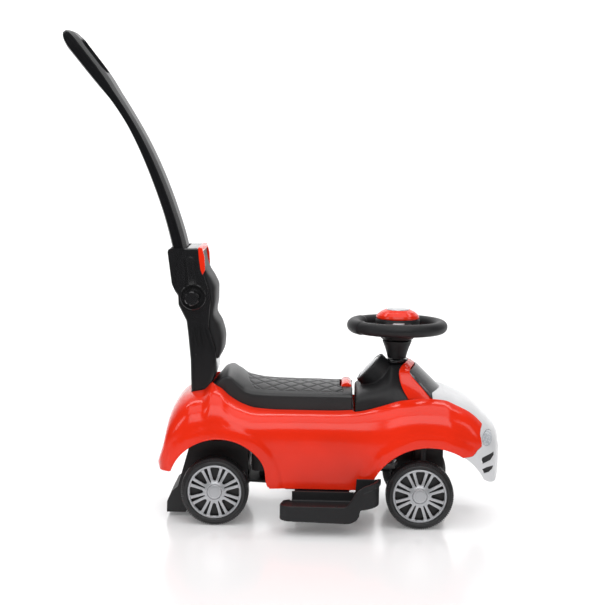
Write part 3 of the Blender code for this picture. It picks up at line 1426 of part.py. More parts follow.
def build_linkage(turn):
    crank_x = COLUMN_X - STEER_ARM
    plate_at = empty("tie_plate_pivot", (-STEER_ARM, 0, PLATE_Z - RING_Z), turn)
    pins = [(crank_x, 0.0)] + [(FRONT_X - STEER_ARM, s * KINGPIN_Y) for s in (-1, 1)]
    low, high = PLATE_Z - PLATE_THICK / 2, PLATE_Z + PLATE_THICK / 2
    bar_x = FRONT_X - STEER_ARM
    half = KINGPIN_Y + 0.0085
    plan = [
        (crank_x - 0.0100, -0.0070),
        (crank_x - 0.0030, -0.0110),
        (bar_x - 0.0085, -0.0360),
        (bar_x - 0.0085, -half),
        (bar_x + 0.0080, -half),
        (bar_x + 0.0080, -0.0300),
        (bar_x + 0.0020, -0.0150),
    ]
    plan = plan + [(x, -y) for x, y in reversed(plan)]
    plate = add("tie_plate", prism(rounded(plan, 0.005, 1), "Z", low, high), black_satin)
    holes = [rod((crank_x, 0, 0.05), (crank_x, 0, 0.12), ROD_RADIUS + RUNNING_GAP, 12)]
    for x, y in pins[1:]:
        holes.append(rod((x, y, 0.05), (x, y, 0.12), PIN_RADIUS + RUNNING_GAP, 10))
    cutter = tool("tie_plate_holes", merged(*holes))
    shift = Matrix.Translation(Vector((-crank_x, 0, -PLATE_Z)))
    for piece in (plate, cutter):
        piece.data.transform(shift)
        piece.parent = plate_at
    combine(plate, cutter)

    for side, tag in ((-1, "right"), (1, "left")):
        y = side * KINGPIN_Y
        swivel = empty("kingpin_axis_" + tag, (FRONT_X, y, AXLE_Z), CAR)
        bore = KINGPIN_RADIUS + GAP
        sleeve = [(bore, 0.0430), (0.0115, 0.0430), (0.0115, 0.0974), (bore, 0.0974)]
        body = turned(sleeve, (FRONT_X, y, 0), (0, 0, 1), 12)
        knuckle = add("knuckle_" + tag, body, black_satin, swivel)
        reach = WHEEL_Y - TYRE_WIDTH / 2 + 0.0020 - RUNNING_GAP
        root = side * (KINGPIN_Y + 0.0065)
        boss = rod((FRONT_X, root, AXLE_Z), (FRONT_X, side * reach, AXLE_Z), 0.0100, 14)
        combine(knuckle, tool("stub_boss_" + tag, boss, swivel), "UNION")
        tip = FRONT_X - STEER_ARM
        arm = [(FRONT_X - 0.0080, y - 0.0065), (tip, y - 0.0060), (tip - 0.0058, y - 0.0020)]
        arm += [(tip - 0.0058, y + 0.0020), (tip, y + 0.0060), (FRONT_X - 0.0080, y + 0.0065)]
        steer_arm = prism(arm, "Z", ARM_Z - 0.0030, ARM_Z + 0.0030)
        combine(knuckle, tool("steer_arm_" + tag, steer_arm, swivel), "UNION")
        peg = rod((tip, y, low - 0.0030), (tip, y, ARM_Z), PIN_RADIUS, 10)
        combine(knuckle, tool("steer_peg_" + tag, peg, swivel), "UNION")
        inner = KINGPIN_Y + 0.0125
        end = WHEEL_Y + TYRE_WIDTH / 2 - 0.0100 + RUNNING_GAP
        hole = rod((FRONT_X, side * inner, AXLE_Z), (FRONT_X, side * 0.2, AXLE_Z), AXLE_RADIUS + GAP, 12)
        combine(knuckle, tool("stub_hole_" + tag, hole, swivel))
        stub = [(0, inner + GAP), (AXLE_RADIUS, inner + GAP), (AXLE_RADIUS, end), (0.0075, end)]
        stub += [(0.0075, end + 0.0030), (0, end + 0.0030)]
        add("stub_axle_" + tag, turned(stub, (FRONT_X, 0, AXLE_Z), (0, side, 0), 12), steel, swivel)
        build_wheel("front_" + tag, (FRONT_X, side * WHEEL_Y, AXLE_Z), side, swivel)


# Footrests: a moulded tray on each side with a raised toe box

# Round the front bend, by the angle in degrees: the wall's top and its foot
REST_BEND = (
    (0, 0.0535, 0.0240),
    (5, 0.0555, 0.0240),
    (10, 0.0620, 0.0244),
    (15, 0.0705, 0.0262),
    (20, 0.0780, 0.0285),
    (24, 0.0820, 0.0330),
    (27, 0.0838, 0.0390),
    (28, 0.0843, 0.0470),
    (36, 0.0880, 0.0470),
    (50, 0.0900, 0.0470),
    (64, 0.0915, 0.0470),
    (77, 0.0925, 0.0470),
    (90, 0.0925, 0.0470),
)


def footrest_path():
    """The tray's wall in plan, from the rear inner corner round to the front, with its top and its foot."""
    inner, outer = REST_INNER_Y, REST_OUTER_Y
    radius = 0.020
    rows = [(REST_REAR_X + 0.0150, inner, 0.0525, 0.0275)]
    rows += [(REST_REAR_X + 0.0050, inner + 0.0090, 0.0528, 0.0272)]
    for k in range(5):
        a = math.pi / 2 * k / 4
        x = REST_REAR_X + radius - radius * math.cos(a)
        y = outer - radius + radius * math.sin(a)
        rows.append((x, y, 0.0535, 0.0265))
    for degrees, top, foot in REST_BEND:
        rows.append((*bend_point(degrees), top, foot))
    return rows


def bend_point(degrees):
    """A point in plan on the tray's front bend, a quarter of an ellipse."""
    a = math.radians(degrees)
    x = REST_BEND_X + (REST_FRONT_X - REST_BEND_X) * math.sin(a)
    return x, REST_INNER_Y + (REST_OUTER_Y - REST_INNER_Y) * math.cos(a)


def outward(rows, k):
    """The wall's outward direction in plan at one of its rows."""
    before = rows[max(k - 1, 0)]
    after = rows[min(k + 1, len(rows) - 1)]
    along = Vector((after[0] - before[0], after[1] - before[1])).normalized()
    return Vector((-along.y, along.x))


def build_footrest(side, tag):
    rows = footrest_path()
    wall = []
    for k, (x, y, top, foot) in enumerate(rows):
        out = outward(rows, k)
        wall.append([
            (x, side * y, foot),
            (x, side * y, top),
            (x - out.x * REST_WALL, side * (y - out.y * REST_WALL), top),
            (x - out.x * REST_WALL, side * (y - out.y * REST_WALL), foot),
        ])
    rest = add("footrest_" + tag, loft(wall), black_satin)
    bend_top = smooth_curve([(degrees, top) for degrees, top, foot in REST_BEND])
    lip_rows = [(*bend_point(degrees), bend_top(degrees)) for degrees in (31, 42, 55, 68, 80, 87)]
    lip = []
    for k, (x, y, top) in enumerate(lip_rows):
        out = outward(lip_rows, k)
        reach = min(TOE_LIP, 0.0005 + TOE_LIP * k / 2)
        ring = [(-0.001, -0.0110), (reach, -0.0095), (reach, 0.0005), (-0.001, 0.0005)]
        lip.append([(x + out.x * d, side * (y + out.y * d), top + rise) for d, rise in ring])
    combine(rest, tool("toe_lip_" + tag, loft(lip)), "UNION")
    middle = Vector((0.205, 0.155))
    floor = []
    for x, y, top, foot in rows:
        p = middle + (Vector((x, y)) - middle) * 0.98
        floor.append((p.x, side * p.y))
    combine(rest, tool("rest_floor_" + tag, prism(floor, "Z", REST_FLOOR_Z - 0.0035, REST_FLOOR_Z)), "UNION")
    shelf_top = SILL_Z - 0.0025
    inner = sorted((side * (REST_INNER_Y - 0.0005), side * (REST_INNER_Y + 0.0035)))
    shelf = box((REST_REAR_X + 0.020, inner[0], 0.0400), (REST_FRONT_X - 0.032, inner[1], shelf_top))
    combine(rest, tool("rest_shelf_" + tag, shelf), "UNION")
    toe = sorted((side * (REST_INNER_Y + 0.0015), side * (REST_INNER_Y + 0.0050)))
    foot, head = TOE_FOOT_Z + 0.0010, 0.0915
    front = REST_FRONT_X - 0.0010
    toe_wall = [(0.2470, foot), (0.2495, head), (front, head), (front, foot)]
    combine(rest, tool("toe_wall_" + tag, prism(toe_wall, "Y", *toe)), "UNION")
    flange_y = sorted((side * 0.0900, side * (REST_INNER_Y + 0.0010)))
    low = (REST_REAR_X + 0.024, flange_y[0], shelf_top - 0.0045)
    high = (TRAY_FRONT_X - 0.030, flange_y[1], shelf_top - 0.0002)
    combine(rest, tool("rest_flange_" + tag, box(low, high)), "UNION")
    return rest


def build_knob():
    """The clamp knob: its bolt goes through the shells and the slot in the handle's foot."""
    x, z = KNOB_AT
    turn = empty("knob_axis", (x, 0, z), CAR)
    profile = [
        (0, -0.0560),
        (BOLT_RADIUS, -0.0560),
        (BOLT_RADIUS, 0.0550),
        (0.0100, 0.0550),
        (0.0115, 0.0570),
        (0.0115, 0.0600),
        (0.0130, 0.0640),
        (0.0130, 0.0840),
        (0.0115, 0.0860),
        (0, 0.0860),
    ]
    knob = add("clamp_knob", turned(profile, (x, 0, z), (0, -1, 0), 16), black_gloss, turn)
    grips = []
    for k in range(6):
        a = 2 * math.pi * k / 6
        at = (x + 0.0152 * math.cos(a), z + 0.0152 * math.sin(a))
        grips.append(prism(circle(at, 0.0042, 6), "Y", -0.0900, -0.0670))
    combine(knob, tool("knob_grips", merged(*grips), turn))
    return knob


wells = build_body()
nose_cover = build_nose(wells)
build_lamps(nose_cover)
build_windshield(nose_cover)
build_frame()
build_dashboard()
build_seat()
build_handle()
build_backrest()
build_knob()
build_rear_carrier()
build_undertray()
build_front_carrier()
steering = build_steering()
build_linkage(steering)
for side, tag in ((-1, "right"), (1, "left")):
    build_wheel("rear_" + tag, (0, side * WHEEL_Y, AXLE_Z), side, CAR)
    build_footrest(side, tag)
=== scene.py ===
# %% [markdown]
# # A foot-to-floor ride-on car, seen in a studio
#
# The CAD model gives the car's real sizes, its moving bodies and their joints. This lesson dresses that
# model: the large moulded parts get dense, smooth meshes made from the same curves, the small parts keep
# their CAD meshes, and every part gets a finish of its own. Nothing here changes the car's size.

import math

import bmesh
import bpy
import numpy as np
from mathutils import Matrix, Vector


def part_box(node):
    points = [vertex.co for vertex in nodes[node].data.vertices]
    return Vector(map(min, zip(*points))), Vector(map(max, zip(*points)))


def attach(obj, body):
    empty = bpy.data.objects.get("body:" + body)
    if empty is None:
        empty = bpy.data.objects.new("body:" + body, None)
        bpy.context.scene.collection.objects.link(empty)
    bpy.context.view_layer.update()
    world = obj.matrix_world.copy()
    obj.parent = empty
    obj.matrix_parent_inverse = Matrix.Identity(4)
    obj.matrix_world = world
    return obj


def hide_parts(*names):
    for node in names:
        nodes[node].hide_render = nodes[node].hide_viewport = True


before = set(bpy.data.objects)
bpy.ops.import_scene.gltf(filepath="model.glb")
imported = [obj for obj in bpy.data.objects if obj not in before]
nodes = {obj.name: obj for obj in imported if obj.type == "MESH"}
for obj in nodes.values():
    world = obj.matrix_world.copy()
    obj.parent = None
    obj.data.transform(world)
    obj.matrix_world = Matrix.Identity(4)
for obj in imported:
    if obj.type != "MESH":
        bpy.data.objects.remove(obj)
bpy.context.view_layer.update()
axle_low, axle_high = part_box("rear_axle")
AXLE_X = ((axle_low + axle_high) / 2).x
UP = (0, 0, 1)
SIDES = ((-1, "right"), (1, "left"))
print("rear axle at x =", round(AXLE_X, 4), "with", len(nodes), "CAD nodes")

# %% [markdown]
# ## Curves and meshes
#
# A moulded toy has few straight lines. Each outline here is a curve through a handful of measured points
# that never overshoots between them, so a bump stays where the mould has one. All shapes are drawn in the
# car's own frame, with x = 0 at the rear axle, and are moved to the CAD frame as they are made.

# %% Points in millimetres, and curves through them


def mm(*points, x=0.0, y=0.0):
    """Points given in millimetres, counted from a place that is given in metres."""
    return [(x + a / 1000, y + b / 1000) for a, b in points]


def smooth_curve(points):
    xs = [p[0] for p in points]
    ys = [p[1] for p in points]
    steps = [(ys[i + 1] - ys[i]) / (xs[i + 1] - xs[i]) for i in range(len(xs) - 1)]
    slopes = [steps[0]]
    for before, after in zip(steps, steps[1:]):
        slopes.append(0.0 if before * after <= 0 else 2 * before * after / (before + after))
    slopes.append(steps[-1])

    def value(x):
        x = min(max(x, xs[0]), xs[-1])
        i = max(k for k in range(len(xs) - 1) if xs[k] <= x)
        h = xs[i + 1] - xs[i]
        t = (x - xs[i]) / h
        return (
            ys[i] * (1 + 2 * t) * (1 - t) ** 2
            + ys[i + 1] * t * t * (3 - 2 * t)
            + slopes[i] * h * t * (1 - t) ** 2
            - slopes[i + 1] * h * t * t * (1 - t)
        )

    return value


def soft_curve(points, reach):
    """The curve averaged over a short stretch, so that a reflection runs over it without a kink."""
    curve = smooth_curve(points)
    weights = ((-1.0, 1), (-0.5, 3), (0.0, 4), (0.5, 3), (1.0, 1))
    return lambda x: sum(w * curve(x + d * reach) for d, w in weights) / 12


def ease(t):
    t = min(max(t, 0.0), 1.0)
    return t * t * (3 - 2 * t)


def arc(start, end, count):
    """Cosine and sine at equal steps of a turn, both ends included."""
    return [(math.cos(a), math.sin(a)) for a in np.linspace(start, end, count)]


def circle(count):
    return arc(0, 2 * math.pi, count + 1)[:-1]


def quarter(count, power):
    """Points of a quarter of a unit superellipse, from the side to the top."""
    for c, s in arc(0, math.pi / 2, count):
        reach = (c ** power + s ** power) ** (-1 / power)
        yield reach * c, reach * s


# %% Meshes from rings, outlines and profiles


def loft(rings, closed=False):
    """Join rings of equally many points; closed joins the last ring to the first, without end caps."""
    bm = bmesh.new()
    rows = [[bm.verts.new(p) for p in ring] for ring in rings]
    count = len(rings[0])
    for a, b in list(zip(rows, rows[1:])) + ([(rows[-1], rows[0])] if closed else []):
        for i in range(count):
            j = (i + 1) % count
            bm.faces.new((a[i], a[j], b[j], b[i]))
    if not closed:
        bm.faces.new(rows[0])
        bm.faces.new(list(reversed(rows[-1])))
    return bm


def both_sides(x, half):
    """A ring across the car from its left half, whose last point is in the middle."""
    return [(x, y, z) for y, z in half] + [(x, -y, z) for y, z in reversed(half[:-1])]


def prism(outline, axis, start, end):
    def point(p, v):
        return {"Y": (p[0], v, p[1]), "Z": (p[0], p[1], v)}[axis]

    return loft([[point(p, v) for p in outline] for v in sorted((start, end))])


def box(a, b):
    """A box between two opposite corners."""
    low, high = [[pick(pair) for pair in zip(a, b)] for pick in (min, max)]
    corners = [(low[0], low[1]), (high[0], low[1]), (high[0], high[1]), (low[0], high[1])]
    return prism(corners, "Z", low[2], high[2])


def turned(profile, at, direction, steps):
    """Turn a closed (radius, height) outline about a line through a point."""
    turn = Vector(UP).rotation_difference(Vector(direction)).to_matrix()
    place = Vector(at)
    rings = [[place + turn @ Vector((r * c, r * s, h)) for r, h in profile] for c, s in circle(steps)]
    bm = loft(rings, closed=True)
    bmesh.ops.remove_doubles(bm, verts=bm.verts, dist=1e-6)
    return bm


def along_line(line, i):
    """The direction of a line of points at one of them."""
    return (Vector(line[min(i + 1, len(line) - 1)]) - Vector(line[max(i - 1, 0)])).normalized()


def tube(points, radius, sides):
    """A round bar through the points."""
    rings = []
    side = Vector((0, 1, 0))
    for i, p in enumerate(points):
        along = along_line(points, i)
        across = side if abs(along.dot(side)) < 0.9 else Vector((1, 0, 0))
        up = along.cross(across).normalized()
        across = up.cross(along).normalized()
        rings.append([Vector(p) + across * radius * c + up * radius * s for c, s in circle(sides)])
    return loft(rings)


def cross_bar(x, z, places, radius, sides):
    """A straight round bar across the car, as a tool for holes and hollows."""
    return tube([(x, y, z) for y in places], radius, sides)


def rounded(corners, radius, steps=6):
    """Round an outline's corners; radius may be a number or a list with one for each corner."""
    out = []
    for i, corner in enumerate(corners):
        r = radius[i] if isinstance(radius, list) else radius
        here = Vector(corner)
        back = Vector(corners[i - 1]) - here
        on = Vector(corners[(i + 1) % len(corners)]) - here
        if r <= 0:
            out.append(tuple(corner))
            continue
        reach = min(r / math.tan(back.angle(on) / 2), back.length * 0.49, on.length * 0.49)
        start = here + back.normalized() * reach
        end = here + on.normalized() * reach
        for k in range(steps + 1):
            t = k / steps
            p = start * (1 - t) ** 2 + here * 2 * t * (1 - t) + end * t * t
            out.append((p.x, p.y))
    return out


def flowing(points, rounds=3):
    """Cut the corners of an open line again and again, which makes it flow; its ends stay."""
    line = [Vector(p) for p in points]
    for _ in range(rounds):
        cut_line = [line[0]]
        for a, b in zip(line, line[1:]):
            cut_line += [a.lerp(b, 0.25), a.lerp(b, 0.75)]
        line = cut_line + [line[-1]]
    return [tuple(p) for p in line]


def spaced(points, count):
    """Points at equal steps along a line."""
    line = np.array(points, float)
    run = np.concatenate([[0], np.cumsum(np.linalg.norm(np.diff(line, axis=0), axis=1))])
    at = np.linspace(0, run[-1], count)
    return [tuple(float(np.interp(s, run, line[:, k])) for k in range(line.shape[1])) for s in at]


# %% [markdown]
# ## From mesh to shown piece
#
# A piece has to stand in the CAD frame with its place in its mesh, ride on its body and hide the CAD node it
# stands for. One function does that for every piece, so none can be left behind when a joint moves.

# %% Make, shape and show a piece


def placed(name, data):
    made = bpy.data.objects.new(name, data)
    bpy.context.scene.collection.objects.link(made)
    return made


def as_object(name, bm, finish=None):
    """A plain object of a mesh drawn in the car's frame, with its normals outwards."""
    bmesh.ops.remove_doubles(bm, verts=bm.verts, dist=1e-7)
    bmesh.ops.recalc_face_normals(bm, faces=bm.faces)
    bmesh.ops.translate(bm, verts=bm.verts, vec=(AXLE_X, 0, 0))
    mesh = bpy.data.meshes.new(name)
    bm.to_mesh(mesh)
    bm.free()
    if finish:
        mesh.materials.append(finish)
    return placed(name, mesh)


def change(obj, kind, **settings):
    modifier = obj.modifiers.new(kind.lower(), kind)
    for key, value in settings.items():
        setattr(modifier, key, value)


def settle(obj):
    """Apply every modifier and leave a plain mesh."""
    ready = obj.evaluated_get(bpy.context.evaluated_depsgraph_get())
    mesh = bpy.data.meshes.new_from_object(ready)
    obj.modifiers.clear()
    old = obj.data
    obj.data = mesh
    bpy.data.meshes.remove(old)
    return obj


def cut(obj, *tools, operation="DIFFERENCE"):
    """Combine an object with tools, which are used up."""
    for bm in tools:
        other = bm if isinstance(bm, bpy.types.Object) else as_object("tool", bm)
        change(obj, "BOOLEAN", operation=operation, solver="EXACT", object=other)
        settle(obj)
        bpy.data.objects.remove(other, do_unlink=True)
    return obj


def fuse(obj, *tools):
    return cut(obj, *tools, operation="UNION")


def keep_inside(obj, tool):
    return cut(obj, tool, operation="INTERSECT")


def shade(obj, angle=35):
    obj.data.shade_smooth()
    obj.data.set_sharp_from_angle(angle=math.radians(angle))
    return obj


def bevelled(obj, width, segments=3, angle=40):
    limit = math.radians(angle)
    change(obj, "BEVEL", width=width, segments=segments, limit_method="ANGLE", angle_limit=limit)
    return settle(obj)


def moulded(obj, voxel, rounds):
    """Fuse the shapes of a piece and round every edge, as a mould does."""
    change(obj, "REMESH", mode="VOXEL", voxel_size=voxel, use_smooth_shade=True)
    change(obj, "SMOOTH", factor=0.6, iterations=rounds)
    settle(obj)
    obj.data.shade_smooth()
    return obj


def join(first, *others):
    """One object of several with the first one's finish, without fusing them."""
    bm = bmesh.new()
    for obj in (first, *others):
        start = len(bm.faces)
        bm.from_mesh(obj.data)
        bm.faces.ensure_lookup_table()
        for face in bm.faces[start:]:
            face.material_index = 0
    bm.to_mesh(first.data)
    bm.free()
    for obj in others:
        bpy.data.objects.remove(obj, do_unlink=True)
    return first


def show(obj, body, node):
    """Let a finished piece ride on its body in place of a CAD node."""
    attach(obj, body)
    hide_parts(node)
    triangles = sum(len(p.vertices) - 2 for p in obj.data.polygons)
    print(obj.name, "rides on", body, "with", triangles, "triangles")


# %% [markdown]
# ## Finishes written as sums
#
# A finish is a small calculation over the surface: a mask, a noise, a mixture. Written as node links it is
# hard to read, so one class wraps a socket and lets Python's own signs build the Math nodes.

# %% A socket that can be calculated with


class Flow:
    """A socket of a finish's node tree that takes part in sums."""

    def __init__(self, finish, socket):
        self.finish = finish
        self.socket = socket

    def __add__(self, other):
        return self.finish.maths("ADD", self, other)

    __radd__ = __add__

    def __mul__(self, other):
        return self.finish.maths("MULTIPLY", self, other)

    __rmul__ = __mul__

    def __sub__(self, other):
        return self.finish.maths("SUBTRACT", self, other)

    def __rsub__(self, other):
        return self.finish.maths("SUBTRACT", other, self)

    def step(self, low, high):
        """0 below low, 1 above high, and a soft rise between them."""
        ends = {"Value": self, "From Min": low, "From Max": high}
        return self.finish.node("ShaderNodeMapRange", {"interpolation_type": "SMOOTHSTEP"}, ends)


def times(colour, factor):
    return tuple(min(1.0, c * factor) for c in colour)


class Finish:
    """A Principled finish whose sockets take numbers, colours or flows."""

    def __init__(self, name, colour, roughness, metallic=0.0, coat=0.0, specular=0.5):
        self.made = bpy.data.materials.new(name)
        self.made.use_nodes = True
        self.tree = self.made.node_tree
        self.shader = self.tree.nodes["Principled BSDF"]
        self.made.diffuse_color = (*colour, 1.0)
        self.colour = colour
        self.set("Base Color", colour)
        self.set("Roughness", roughness)
        self.set("Metallic", metallic)
        self.set("Coat Weight", coat)
        self.set("Specular IOR Level", specular)
        self.place = self.node("ShaderNodeTexCoord", {}, {}, "Object")

    def set(self, name, value):
        self.plug(self.shader.inputs[name], value)

    def plug(self, socket, value):
        if isinstance(value, Flow):
            self.tree.links.new(value.socket, socket)
        elif socket.type == "RGBA":
            socket.default_value = (*value, 1.0)
        else:
            socket.default_value = value

    def node(self, kind, settings, inputs, output=0):
        made = self.tree.nodes.new(kind)
        for key, value in settings.items():
            setattr(made, key, value)
        for key, value in inputs.items():
            self.plug(made.inputs[key], value)
        return Flow(self, made.outputs[output])

    def maths(self, operation, *values):
        return self.node("ShaderNodeMath", {"operation": operation}, dict(enumerate(values)))

    def noise(self, scale, detail=2.0, rough=0.5):
        sizes = {"Vector": self.place, "Scale": scale, "Detail": detail, "Roughness": rough}
        return self.node("ShaderNodeTexNoise", {}, sizes)

    def axis(self, which):
        return self.node("ShaderNodeSeparateXYZ", {}, {0: self.place}, "XYZ".index(which))

    def mix(self, share, first, second):
        """A colour between two, by a flow from 0 to 1."""
        return self.node("ShaderNodeMix", {"data_type": "RGBA"}, {0: share, 6: first, 7: second}, 2)

    def tint(self, share, darker, lighter):
        """Let the base colour drift between two shades of itself."""
        self.set("Base Color", self.mix(share, times(self.colour, darker), times(self.colour, lighter)))

    def bump(self, height, strength, distance):
        sizes = {"Height": height, "Strength": strength, "Distance": distance}
        self.set("Normal", self.node("ShaderNodeBump", {}, sizes))


# %% [markdown]
# ## Moulded plastic, paint and steel
#
# Injection-moulded plastic is never one flat colour. Gloss parts show a faint waviness and fine handling
# marks, satin parts carry the mould's fine spark grain, and painted silver parts have tiny metal flakes.
# Large slow noise tints the colour by a few percent, and small fast noise feeds roughness and bump.

# %% Four kinds of finish


def gloss_plastic(name, colour, roughness=0.16, wave=0.03, coat=0.05, specular=0.5):
    made = Finish(name, colour, roughness, coat=coat, specular=specular)
    made.tint(made.noise(9.0).step(0.30, 0.70), 0.94, 1.05)
    made.set("Roughness", roughness - 0.03 + made.noise(420.0, 3.0, 0.6) * 0.07)
    made.set("Coat Roughness", 0.06)
    made.bump(made.noise(34.0, 1.0), wave, 0.0012)
    return made.made


def satin_plastic(name, colour, roughness=0.46, grain=0.22, scale=1700.0, specular=0.5):
    made = Finish(name, colour, roughness, specular=specular)
    spark = made.noise(scale, 2.0, 0.7)
    made.tint(made.noise(14.0, 3.0).step(0.25, 0.75), 0.88, 1.16)
    made.set("Roughness", roughness - 0.05 + spark * 0.12)
    made.bump(spark + made.noise(scale * 0.23) * 0.6, grain, 0.00035)
    return made.made


def silver_paint(name, colour, roughness):
    made = Finish(name, colour, roughness, metallic=0.62, coat=0.25)
    flakes = made.noise(3200.0, 1.0, 0.8)
    made.tint(flakes.step(0.35, 0.75), 0.86, 1.14)
    made.set("Roughness", roughness - 0.04 + made.noise(22.0) * 0.08)
    made.bump(flakes, 0.05, 0.0002)
    return made.made


def turned_steel(name):
    made = Finish(name, (0.62, 0.62, 0.64), 0.26, metallic=1.0)
    rings = made.noise(900.0, 2.0, 0.7)
    made.set("Roughness", 0.20 + rings * 0.16)
    made.bump(rings, 0.10, 0.0002)
    return made.made


BLACK_COLOUR = (0.010, 0.010, 0.011)
RED = gloss_plastic("red_gloss_plastic", (0.88, 0.027, 0.006), specular=0.34)
WHITE = gloss_plastic("white_gloss_plastic", (0.71, 0.715, 0.73), 0.18, 0.03)
BLACK = gloss_plastic("black_gloss_plastic", BLACK_COLOUR, 0.18, 0.02, 0.15)
ARM_BLACK = gloss_plastic("arm_black_plastic", BLACK_COLOUR, 0.26, 0.05, 0.0, 0.03)
SATIN = satin_plastic("satin_black_plastic", (0.013, 0.013, 0.014), specular=0.28)
SEAT_SATIN = satin_plastic("seat_satin_plastic", (0.015, 0.015, 0.016), 0.38, 0.16)
CHASSIS = satin_plastic("chassis_plastic", (0.014, 0.014, 0.015), 0.52, 0.28, 900.0)
TYRE = satin_plastic("tyre_plastic", (0.012, 0.012, 0.013), 0.42, 0.20, 1300.0)
SILVER = silver_paint("silver_paint", (0.50, 0.51, 0.53), 0.34)
STEEL = turned_steel("turned_steel")
print("finishes made:", len(bpy.data.materials))

# %% [markdown]
# ## Clear and smoked parts
#
# The lamps are clear lenses over a bright reflector and the screen is smoked plastic. Both are thin and
# closed at the back on the real car, so a glossy surface with a cut-glass pattern stands for the lens, with
# the reflector's bright glints painted into its colour as pale cells, and a dark glossy one for the screen.

# %% Lens and screen


def lens_finish(name):
    made = Finish(name, (0.70, 0.74, 0.78), 0.07, metallic=0.15, coat=1.0)
    cells = made.node("ShaderNodeTexVoronoi", {"feature": "F1"}, {"Vector": made.place, "Scale": 300.0})
    # The pale and darker cells are a painted reflection: the reflector's glints, painted into the lens's
    # base colour.
    made.set("Base Color", made.mix(cells.step(0.1, 0.6), (0.95, 0.96, 0.98), (0.55, 0.58, 0.62)))
    made.bump(cells, 0.25, 0.0006)
    return made.made


def screen_finish(name):
    made = Finish(name, (0.070, 0.072, 0.076), 0.20, coat=0.4)
    fine = made.noise(1500.0, 2.0, 0.7)
    dark, pale = (0.034, 0.035, 0.038), (0.050, 0.051, 0.055)
    made.set("Base Color", made.mix(made.noise(30.0).step(0.3, 0.7), dark, pale))
    made.set("Roughness", 0.22 + fine * 0.12)
    made.bump(fine, 0.08, 0.0003)
    return made.made


LENS = lens_finish("lamp_lens")
SCREEN = screen_finish("smoked_screen")

# %% [markdown]
# ## Every CAD part gets its finish
#
# Hidden and small parts stay as CAD meshes. Their facets are fine enough, so they only need their own
# material and smooth shading with a sharp-edge limit.

# %% Dress the CAD nodes

FINISHES = (
    (RED, "body_shell", "windshield_frame", "lid_catch", "hub_cover", "backrest_trim"),
    (WHITE, "nose_cover"),
    (ARM_BLACK, "handle"),
    (BLACK, "backrest_front_shell", "backrest_rear_shell", "clamp_knob", "gauge_bezel"),
    (SEAT_SATIN, "seat_lid"),
    (SCREEN, "windshield"),
    (LENS, "gauge_dial", "headlight"),
    (SILVER, "rim", "hub_cap", "hub_disc", "horn_button"),
    (TYRE, "tyre"),
    (STEEL, "steering_rod", "rear_axle", "stub_axle", "kingpin", "lid_hinge_pin"),
    (CHASSIS, "rear_carrier", "front_carrier", "undertray", "knuckle", "tie_plate", "storage_tub"),
)
FINISH_OF = {start: finish for finish, *starts in FINISHES for start in starts}

for name, obj in nodes.items():
    fits = [start for start in FINISH_OF if name.startswith(start)]
    obj.data.materials.clear()
    obj.data.materials.append(FINISH_OF[max(fits, key=len)] if fits else SATIN)
    shade(obj, 28)

# %% [markdown]
# ## The body's surface
#
# The red body and the white nose come from one surface, as on the real car, where two mouldings share one
# form. Four curves along the car give its half width, its crown, its sill and how square its shoulders
# are. A section is a nearly upright wall that turns into a quarter of a superellipse, and a soft flare
# swells round each wheel arch. Sections every few millimetres keep the reflections smooth.

# %% Curves along the car

REAR_END = -0.103
FRONT_X = 0.362
NOSE_X = FRONT_X + 0.145
FENDER = 0.131
WAIST = FENDER - 0.012
WAIST_Z = 0.130
SILL_Z = 0.068
DECK_Z = 0.206
REAR_DECK_Z = 0.232
HOOD_Z = 0.239
WALL = 0.003
WALL_LEAN = 0.004

half_width = soft_curve(
    mm((0, -46), (3, -31), (10, -19), x=REAR_END, y=FENDER)
    + mm((-78, -9), (-45, -1), (0, 0), (55, -1), y=FENDER)
    + mm((115, 1), (180, 0), y=WAIST)
    + mm((-105, 2), x=FRONT_X, y=WAIST)
    + mm((-50, -1), (0, 0), (50, -1), x=FRONT_X, y=FENDER)
    + mm((-73, -5), (-53, -11), (-38, -19), (-23, -32), x=NOSE_X, y=FENDER)
    + mm((-12, -47), (-4.5, -68), (0, -100), x=NOSE_X, y=FENDER),
    0.0025,
)
crown = soft_curve(
    mm((0, 112), (4, 128), (10, 152), x=REAR_END)
    + mm((-88, 180), (-78, 203))
    + mm((-64, -12), (-45, -2), (-25, 2), (-9, 16), (6, 12), (24, -3), y=REAR_DECK_Z)
    + mm((45, 10), (70, 2), (110, 0), (200, 0), y=DECK_Z)
    + mm((-119, 3), (-69, 17), x=FRONT_X, y=DECK_Z)
    + mm((-33, -5), (18, 0), (40, -1), x=FRONT_X, y=HOOD_Z)
    + mm((-86, -8), (-58, -20), (-36, -37), (-19, -55), x=NOSE_X, y=HOOD_Z)
    + mm((-4.8, -73), (-1.2, -94), (0, -107), x=NOSE_X, y=HOOD_Z),
    0.0025,
)
sill = smooth_curve(
    mm((0, 100), (6, 95), x=REAR_END)
    + [(-0.070, 0.095), (0.050, SILL_Z), (FRONT_X - 0.080, SILL_Z), (FRONT_X, 0.100)]
    + mm((-40, 93), (-20, 83), (-10.5, 81.5), (-5.5, 87), (-2.2, 98), (0, 113), x=NOSE_X)
)
squareness = soft_curve([
    (REAR_END, 2.6), (-0.045, 3.0), (0.070, 4.2), (0.200, 4.4), (FRONT_X - 0.069, 3.4), (FRONT_X, 2.9),
    (NOSE_X, 2.5),
], 0.01)

# Each arch: middle x and z, radius, and how far its foot tucks in.
ARCHES = ((0.007, 0.067, 0.091, 0.010), (FRONT_X + 0.015, 0.042, 0.1085, 0.0))
FLARE = 0.0022
FLARE_WIDTH = 0.021
FLARE_FADE = 0.0045


def flare_at(x, z):
    """How far the wall swells outwards round the nearer wheel arch."""
    beyond = min(math.hypot(x - ax, z - az) - radius for ax, az, radius, tuck in ARCHES)
    return FLARE * (1 - ease((beyond - FLARE_WIDTH + FLARE_FADE) / FLARE_FADE))


